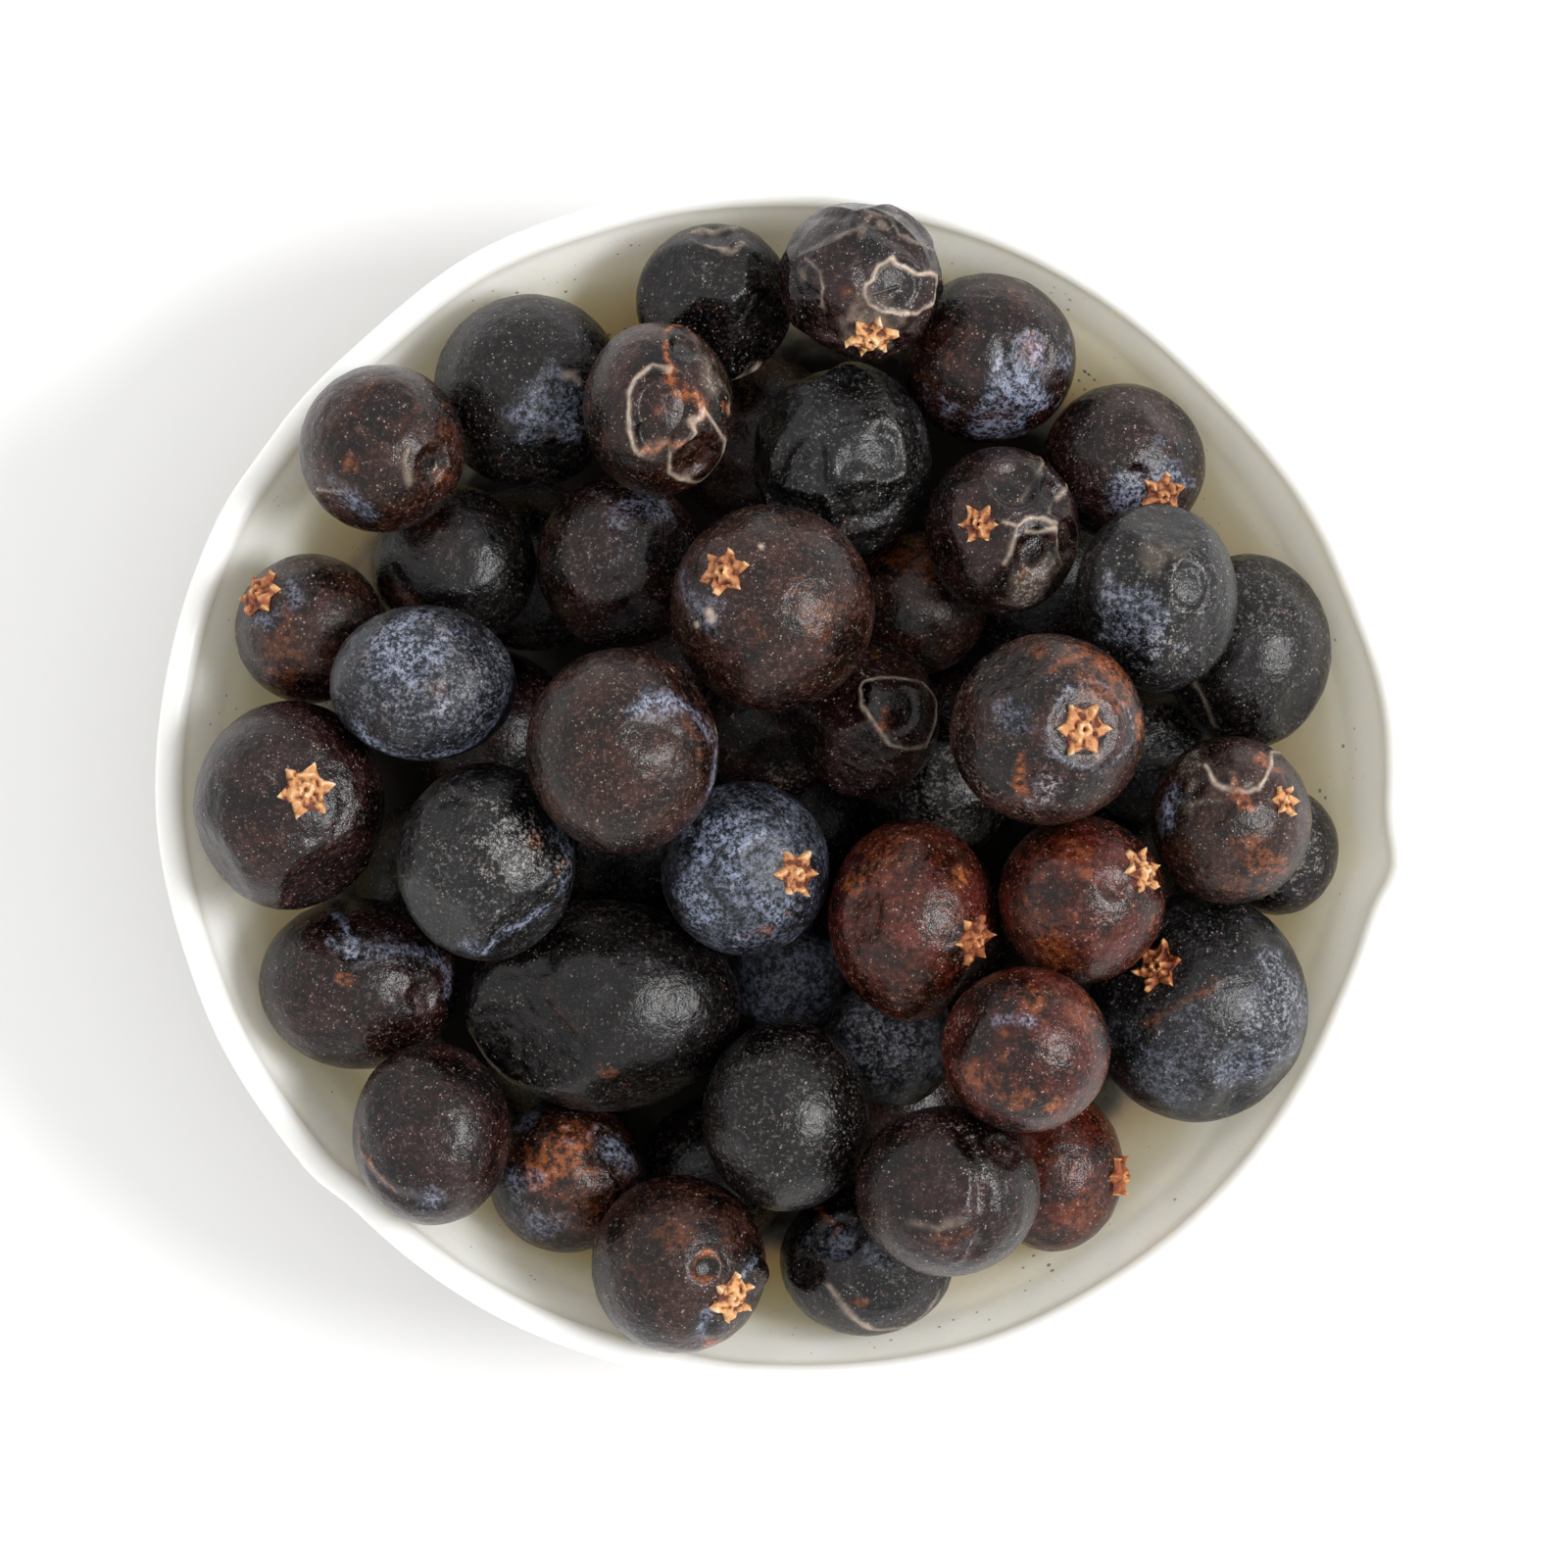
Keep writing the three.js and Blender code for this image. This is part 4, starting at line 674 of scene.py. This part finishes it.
def skin_reach(berry, directions):
    """The skin's distance from the middle as a fraction of the half size: a sphere with low seeded swells,
    sunk by the deepest of its marks, with flat sides cut off it and blended in."""
    seed = berry.number
    reach = np.ones(len(directions))
    for wave in range(LUMP_WAVES):
        swing = 4 * chance(seed, wave * 4 + np.arange(3)) - 2
        phase = 2 * np.pi * chance(seed, wave * 4 + 3)
        reach += LUMPS * np.sin(directions @ swing * LUMP_TURNS + phase)
    depths = [sunk(mark, directions) for mark in berry.marks if mark["kind"] in ("dent", "crease", "net")]
    if depths:
        reach -= np.maximum(np.max(depths, axis=0), 0) + np.minimum(np.min(depths, axis=0), 0)
    for mark in berry.marks:
        if mark["kind"] == "flat":
            facing = directions @ towards(*mark["at"])
            cut = np.where(facing > SIDE_ON, mark["distance"] / np.maximum(facing, SIDE_ON), FAR_OFF)
            blend = np.maximum(FOLD_BLEND - np.abs(reach - cut), 0) / FOLD_BLEND
            reach = np.minimum(reach, cut) - blend ** 2 * FOLD_BLEND / 4
    return reach


def fine_skin(berry, directions, points):
    """What the solid leaves out: low wrinkles everywhere, small pits and thin ridges, and the strength of
    each tint. Lines fade and patches fray along a seeded grain. Returns a height for each point, in
    fractions of the radius, and the tints."""
    tints = {name: np.zeros(len(directions)) for name in TINTS}
    seed = berry.number
    bent = points + WRINKLE_BEND * grain(points, BEND_SIZE, seed)[:, None]
    height = -WRINKLE_DEPTH * np.abs(grain(bent, WRINKLE_SIZE, seed + 100))
    height += PIMPLE_RISE * grain(points, PIMPLE_SIZE, seed + 200)
    frayed = grain(points, 1.1, seed + 400) + 0.6 * grain(points, 0.45, seed + 500)
    sway = [grain(points, 1.3, seed + k) + 0.4 * grain(points, 0.5, seed + k) for k in (600, 700, 800)]
    swayed = unit(directions + LINE_SWAY * np.stack(sway, axis=-1))
    for mark in berry.marks:
        if mark["kind"] == "net":
            height += NET_LINE_RISE * (1 - ease(net_gaps(directions, mark) / NET_LINE_WIDTH))
        elif mark["kind"] == "ridge":
            waver = 1.1 + 0.5 * grain(points, 0.7, seed + 300)
            cover = np.exp(-(off_line(swayed, mark["line"]) / mark["width"] * waver) ** 2)
            height += mark["height"] * cover
            cover = cover * np.clip(0.85 + 0.6 * frayed, 0, 1)
        elif mark["kind"] == "pit":
            off = angle_between(directions, towards(*mark["at"])) / mark["width"]
            height += mark["height"] * ease(1.4 - off)
            cover = ease(1.3 - off * (1 + 0.7 * frayed))
        for name, strength in mark.get("tints", {}).items():
            tints[name] = np.maximum(tints[name], strength * cover)
    return height, tints


def ball(steps):
    """Directions over a sphere, and the faces between them: a cube's six sides, each a grid whose lines are
    spread by a tangent, pushed out to a sphere and drawn upwards, because the top is what shows."""
    line = np.tan(np.linspace(-1, 1, steps + 1) * np.pi / 4)
    u, v = np.meshgrid(line, line, indexing="ij")
    one = np.ones_like(u)
    sides = [(one, u, v), (-one, v, u), (v, one, u), (u, -one, v), (u, v, one), (v, u, -one)]
    corners = np.concatenate([np.stack(side, axis=-1).reshape(-1, 3) for side in sides])
    cell = np.arange(len(line) ** 2).reshape(len(line), len(line))
    square = np.stack([cell[:-1, :-1], cell[1:, :-1], cell[1:, 1:], cell[:-1, 1:]], axis=-1).reshape(-1, 4)
    faces = np.concatenate([square + side * cell.size for side in range(6)])
    _, first, shared = np.unique(np.round(corners, 6), axis=0, return_index=True, return_inverse=True)
    directions = unit(unit(corners[first]) + np.array([0, 0, LEAN_UP]))
    return directions, shared.reshape(-1)[faces].tolist()


# The skin's colours, from dark to light, and how rough it is.
SKINS = {
    BLACK: ("#030202", "#150e0c", 0.27),
    SLATE: ("#040404", "#1a191a", 0.3),
    BLUE: ("#050506", "#1c1d24", 0.34),
    PLUM: ("#060202", "#2a1310", 0.25),
    BROWN: ("#070302", "#351a10", 0.27),
    RED: ("#0f0402", "#4e190d", 0.24),
}
BLOOM = "#939db6"
RUST = "#9a5226"
PALE = "#dcc6b2"
# Pale speck colour, used for dust specks and for the painted highlight of the frost tint.
FROST_AND_HIGHLIGHT = "#b3aaa3"
# Near black for the painted shade of the dark tint.
PAINTED_SHADE = "#050404"


def skin_material(name):
    """Dark leathery skin: mottled between two shades, with rust-brown patches and flecks, a blue wax bloom
    broken by dark gaps, pale ridges, fine pale specks that are partly painted highlight, painted shade in
    hollows and grooves, and a fine pebbled grain."""
    dark, light, roughness = SKINS[name]
    material, shader, tree, place = new_material("skin_" + name)
    tint_of = {key: place.node("ShaderNodeAttribute", {"attribute_name": key}, {}, 2) for key in TINTS}
    mottle = place.noise(0.5, 4.0, 0.65)
    fleck = place.noise(2.6, 4.0, 0.65)
    fine = place.noise(5.5, 3.0, 0.75)
    shade = mottle * 0.5 + fleck * 0.2 + fine * 0.3
    base = shade.step(0.42, 0.6).mix(paint(dark), paint(light))
    rusty = tint_of["rust"] * tint_of["rust"] * (fleck.step(0.4, 0.58) * 0.9 + 0.1)
    rusty = rusty + fleck.step(0.58, 0.8) * 0.17
    base = rusty.math("MINIMUM", rusty, 0.92).mix(base, paint(RUST))
    wax = (fine * 0.6 + fleck * 0.4).step(0.44, 0.58)
    blooming = tint_of["bloom"] * (wax * 0.95 + 0.03) + mottle.step(0.5, 0.75) * wax * 0.05
    base = blooming.math("MINIMUM", blooming, 0.9).mix(base, paint(BLOOM))
    # Pale specks: dust specks everywhere, and dense frost speckle that is partly a painted highlight.
    cold = tint_of["frost"] * tint_of["frost"]
    frost_and_highlight_specks = (fine + fleck * 0.3 + cold * 0.08).step(0.71, 0.81) * (cold * 0.75 + 0.08)
    speck = (place.cells(4.5) - fleck.step(0.4, 0.7) * 0.16).step(0.12, 0.02) * 0.6
    base = speck.math("MAXIMUM", speck, frost_and_highlight_specks).mix(base, paint(FROST_AND_HIGHLIGHT))
    pale = tint_of["pale"] * (fleck * 1.2 + 0.1)
    base = pale.math("MINIMUM", pale, 1.0).mix(base, paint(PALE))
    # Painted shade: the dark tint darkens hollows, grooves and low-lying berries towards near black.
    base = (tint_of["dark"] * 0.9).mix(base, paint(PAINTED_SHADE))
    tree.links.new(base.socket, shader.inputs["Base Color"])
    rough = fine * 0.2 + fleck * 0.2 + (roughness - 0.2) + tint_of["bloom"] * 0.2
    tree.links.new(rough.socket, shader.inputs["Roughness"])
    pebbles = fine * 0.28 + place.noise(11.0, 1.0) * 0.16 + place.noise(2.0, 2.0) * 0.9
    grainy = pebbles.node("ShaderNodeBump", {}, {"Height": pebbles, "Strength": 1.0,
                                                 "Distance": 0.075 * MM})
    tree.links.new(grainy.socket, shader.inputs["Normal"])
    shader.inputs["Specular IOR Level"].default_value = 0.38
    return material


# Star: the scar of the three scales that fused to make the berry. It is dry, papery and tan, with six
# keeled points and a smaller ragged whorl in the middle, and it grew as part of the skin.
STAR_POINTS = 6
STAR_NOTCH = 0.62
STAR_UNEVEN = 0.2
STAR_EDGE = 8
STAR_RINGS = 20
STAR_RISE = 0.16
KEEL_RISE = 0.1
CURL_RISE = 0.2
WHORL_RISE = 0.15
PIT_DROP = 0.2
CRUMPLE_RISE = 0.24
CRUMPLE_SIZE = 0.34
FIBRE_RISE = 0.07
FIBRE_SIZE = 0.18
WHORL_REACH = 0.5
PIT_REACH = 0.16
RIM_SOFTNESS = 0.1
STAR_ROOT = 0.35
ROOT_POLE = 0.4
# Fold brown is painted shade; keel cream is partly painted highlight.
STAR_TAN = ("#94471f", "#dba065")
STAR_CREAM_AND_HIGHLIGHT = ("#d89858", "#f6dab0")
STAR_FOLD_SHADE = "#5e2410"


def star_material():
    """Papery tan scale with fibres: painted brown shade in its folds, cream on its keels partly painted
    highlight.
    """
    material, shader, tree, place = new_material("star_scale")
    rise = place.node("ShaderNodeAttribute", {"attribute_name": "rise"}, {}, 2)
    fibre = place.noise(5.0, 4.0, 0.65)
    tone = place.node("ShaderNodeAttribute", {"attribute_name": "tone"}, {}, 2)
    # Coloured by height: painted brown shade in the low folds, cream on the raised keels partly painted
    # highlight.
    level = rise + (fibre - 0.5) * 0.9
    base = level.step(0.03, 0.42).mix(paint(STAR_FOLD_SHADE), tone.mix(*map(paint, STAR_TAN)))
    base = level.step(0.45, 0.95).mix(base, tone.mix(*map(paint, STAR_CREAM_AND_HIGHLIGHT)))
    tree.links.new(base.socket, shader.inputs["Base Color"])
    bump_height = fibre + place.noise(14.0, 2.0) * 0.4
    ragged = fibre.node("ShaderNodeBump", {}, {"Height": bump_height, "Strength": 0.8,
                                               "Distance": 0.12 * MM})
    tree.links.new(ragged.socket, shader.inputs["Normal"])
    shader.inputs["Roughness"].default_value = 0.5
    return material


def star_surface(mark, seed):
    """A star as across, along and height in millimetres, on rings from its middle to its outline and then
    down under the skin. The outline is straight between its points and notches. Each point has a keel, and a
    smaller whorl turned by half a point stands up round a pit in the middle."""
    corner = np.arange(2 * STAR_POINTS + 1)
    length = mark.radius * (1 + STAR_UNEVEN * (chance(seed, corner % (2 * STAR_POINTS)) - 0.5))
    length = np.where(corner % 2, mark.radius * STAR_NOTCH, length)
    part = np.tile(np.arange(STAR_EDGE) / STAR_EDGE, 2 * STAR_POINTS)
    start, end = np.repeat(length[:-1], STAR_EDGE), np.repeat(length[1:], STAR_EDGE)
    wide = np.pi / STAR_POINTS
    outline = start * end * np.sin(wide) / (start * np.sin(part * wide) + end * np.sin((1 - part) * wide))
    angle = np.arange(len(part)) * wide / STAR_EDGE
    keel = np.abs((angle / wide + 1) % 2 - 1)
    keel = 1 - np.minimum(keel, 2 - keel)
    ring = np.linspace(0.04, 1, STAR_RINGS)[:, None]
    whorl = ease((WHORL_REACH - 0.2 * keel - ring) / RIM_SOFTNESS)
    pit = ease((PIT_REACH - ring) / RIM_SOFTNESS)
    curl = 0.5 + chance(seed, 40 + np.repeat(corner[:-1], STAR_EDGE) // 2)
    height = STAR_RISE + KEEL_RISE * keel ** 2 * (1 - 0.6 * ring) + CURL_RISE * curl * keel ** 3 * ring ** 4
    height = height + WHORL_RISE * whorl - PIT_DROP * pit
    across = ring * outline * np.cos(angle + np.radians(mark.turn))
    along = ring * outline * np.sin(angle + np.radians(mark.turn))
    flat_points = np.stack([across, along, height], axis=-1)
    place = flat_points * [1, 1, 0] + seed
    crumple = CRUMPLE_RISE * np.abs(grain(place, CRUMPLE_SIZE, seed))
    flat_points[..., 2] += crumple + FIBRE_RISE * grain(place, FIBRE_SIZE, seed) - FIBRE_RISE
    rise = (flat_points[..., 2] - 0.1) / 0.34
    return flat_points, rise


def star_on(berry):
    """A star's points laid along its berry's skin, each raised from it along the skin's slope at the star's
    middle, with the faces and the height that colours them."""
    flat_points, rise = star_surface(berry.star, berry.number)
    half = np.array(berry.size) / 2
    middle = towards(berry.star.right, berry.star.up)
    out = unit(middle / half)
    cross = np.array([[0, 0, out[0]], [0, 0, out[1]], [-out[0], -out[1], 0]])
    turn = np.eye(3) + cross + cross @ cross / (1 + out[2])
    foot = middle * skin_reach(berry, middle[None]) * half
    skirt = flat_points[-1:].copy()
    skirt[..., 2] = -STAR_ROOT
    under = skirt * [0.5, 0.5, 1.0]
    rings = np.concatenate([flat_points, skirt, under])
    rise = np.concatenate([rise, rise[-1:], rise[-1:]])
    columns = rings.shape[1]
    poles = np.array([[0, 0, rings[0, :, 2].mean()], [0, 0, -ROOT_POLE]])
    local = np.concatenate([rings.reshape(-1, 3), poles])
    direction = unit((foot + (local * [1, 1, 0]) @ turn.T) / half)
    points = direction * skin_reach(berry, direction)[:, None] * half + local[:, 2:] * out
    place = np.arange(rings.shape[0] * columns).reshape(-1, columns)
    beside = np.roll(place, -1, axis=1)
    band = np.stack([place[:-1], place[1:], beside[1:], beside[:-1]], axis=-1).reshape(-1, 4)
    top = np.stack([place[0], beside[0], np.full(columns, place.size)], axis=-1)
    bottom = np.stack([beside[-1], place[-1], np.full(columns, place.size + 1)], axis=-1)
    faces = band.tolist() + top.tolist() + bottom.tolist()
    return points, faces, np.concatenate([rise.reshape(-1), [rise[0].mean(), 0]])


def set_attribute(piece, name, values):
    attribute = piece.data.attributes.new(name, "FLOAT", "POINT")
    attribute.data.foreach_set("value", values.astype(np.float32))


def place_berry(berry, directions, faces, materials):
    """Lays a berry, and its star, where its node lies: both boxes have the same middle."""
    half = np.array(berry.size) / 2
    reach = skin_reach(berry, directions)
    rough = directions * reach[:, None] * half
    height, tints = fine_skin(berry, directions, rough)
    points = directions * (reach + height)[:, None] * half
    every = points
    if berry.star:
        star_points, star_faces, rise = star_on(berry)
        every = np.concatenate([points, star_points])
    low, high = (np.array(corner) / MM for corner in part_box(berry.name))
    shift = (low + high) / 2 - (every.min(axis=0) + every.max(axis=0)) / 2
    piece = solid(berry.name + "_skin", points + shift, faces, berry.name,
                  materials[berry.skin])
    for name, values in tints.items():
        set_attribute(piece, name, values)
    if berry.star:
        scar = solid(berry.name + "_star", star_points + shift, star_faces, None, materials["star"])
        set_attribute(scar, "rise", rise)
        set_attribute(scar, "tone", np.full(len(rise), berry.star.tone))


materials = {name: skin_material(name) for name in SKINS}
materials["star"] = star_material()
lined = [berry for berry in SEEN if any(mark["kind"] == "ridge" and mark["width"] < THIN_LINE
                                        for mark in berry.marks)]
seen = [berry for berry in SEEN if berry not in lined]
for berries, steps in ((HIDDEN, HIDDEN_STEPS), (DEEP, DEEP_STEPS), (seen, SEEN_STEPS), (lined, LINED_STEPS)):
    directions, faces = ball(steps)
    for berry in berries:
        place_berry(berry, directions, faces, materials)

# Table and light: a white table without an edge, a round soft lamp at the right, and white walls that
# throw its light back from all round.
TABLE_SIZE = 4.0
LAMP_PLACE = (0.58, 0.0, 0.71)
LAMP_SIZE = 0.35
LAMP_POWER = 6.2
ROOM_LIGHT = 0.95


def table():
    mesh = bpy.data.meshes.new("table")
    side = TABLE_SIZE / 2
    mesh.from_pydata([(-side, -side, 0), (side, -side, 0), (side, side, 0), (-side, side, 0)], [],
                     [(0, 1, 2, 3)])
    material, shader, _, _ = new_material("table_white")
    shader.inputs["Base Color"].default_value = (0.99, 0.99, 0.99, 1)
    shader.inputs["Roughness"].default_value = 0.8
    mesh.materials.append(material)
    piece = bpy.data.objects.new("table", mesh)
    bpy.context.scene.collection.objects.link(piece)


def lamp():
    """A round lamp that faces the bowl."""
    light = bpy.data.lights.new("side_lamp", "AREA")
    light.shape = "DISK"
    light.size = LAMP_SIZE
    light.energy = LAMP_POWER
    piece = bpy.data.objects.new("side_lamp", light)
    piece.location = LAMP_PLACE
    piece.rotation_euler = (-piece.location).to_track_quat("-Z", "Y").to_euler()
    bpy.context.scene.collection.objects.link(piece)


table()
lamp()
world = bpy.data.worlds.new("room")
world.use_nodes = True
world.node_tree.nodes["Background"].inputs["Color"].default_value = (1, 1, 1, 1)
world.node_tree.nodes["Background"].inputs["Strength"].default_value = ROOM_LIGHT
bpy.context.scene.world = world
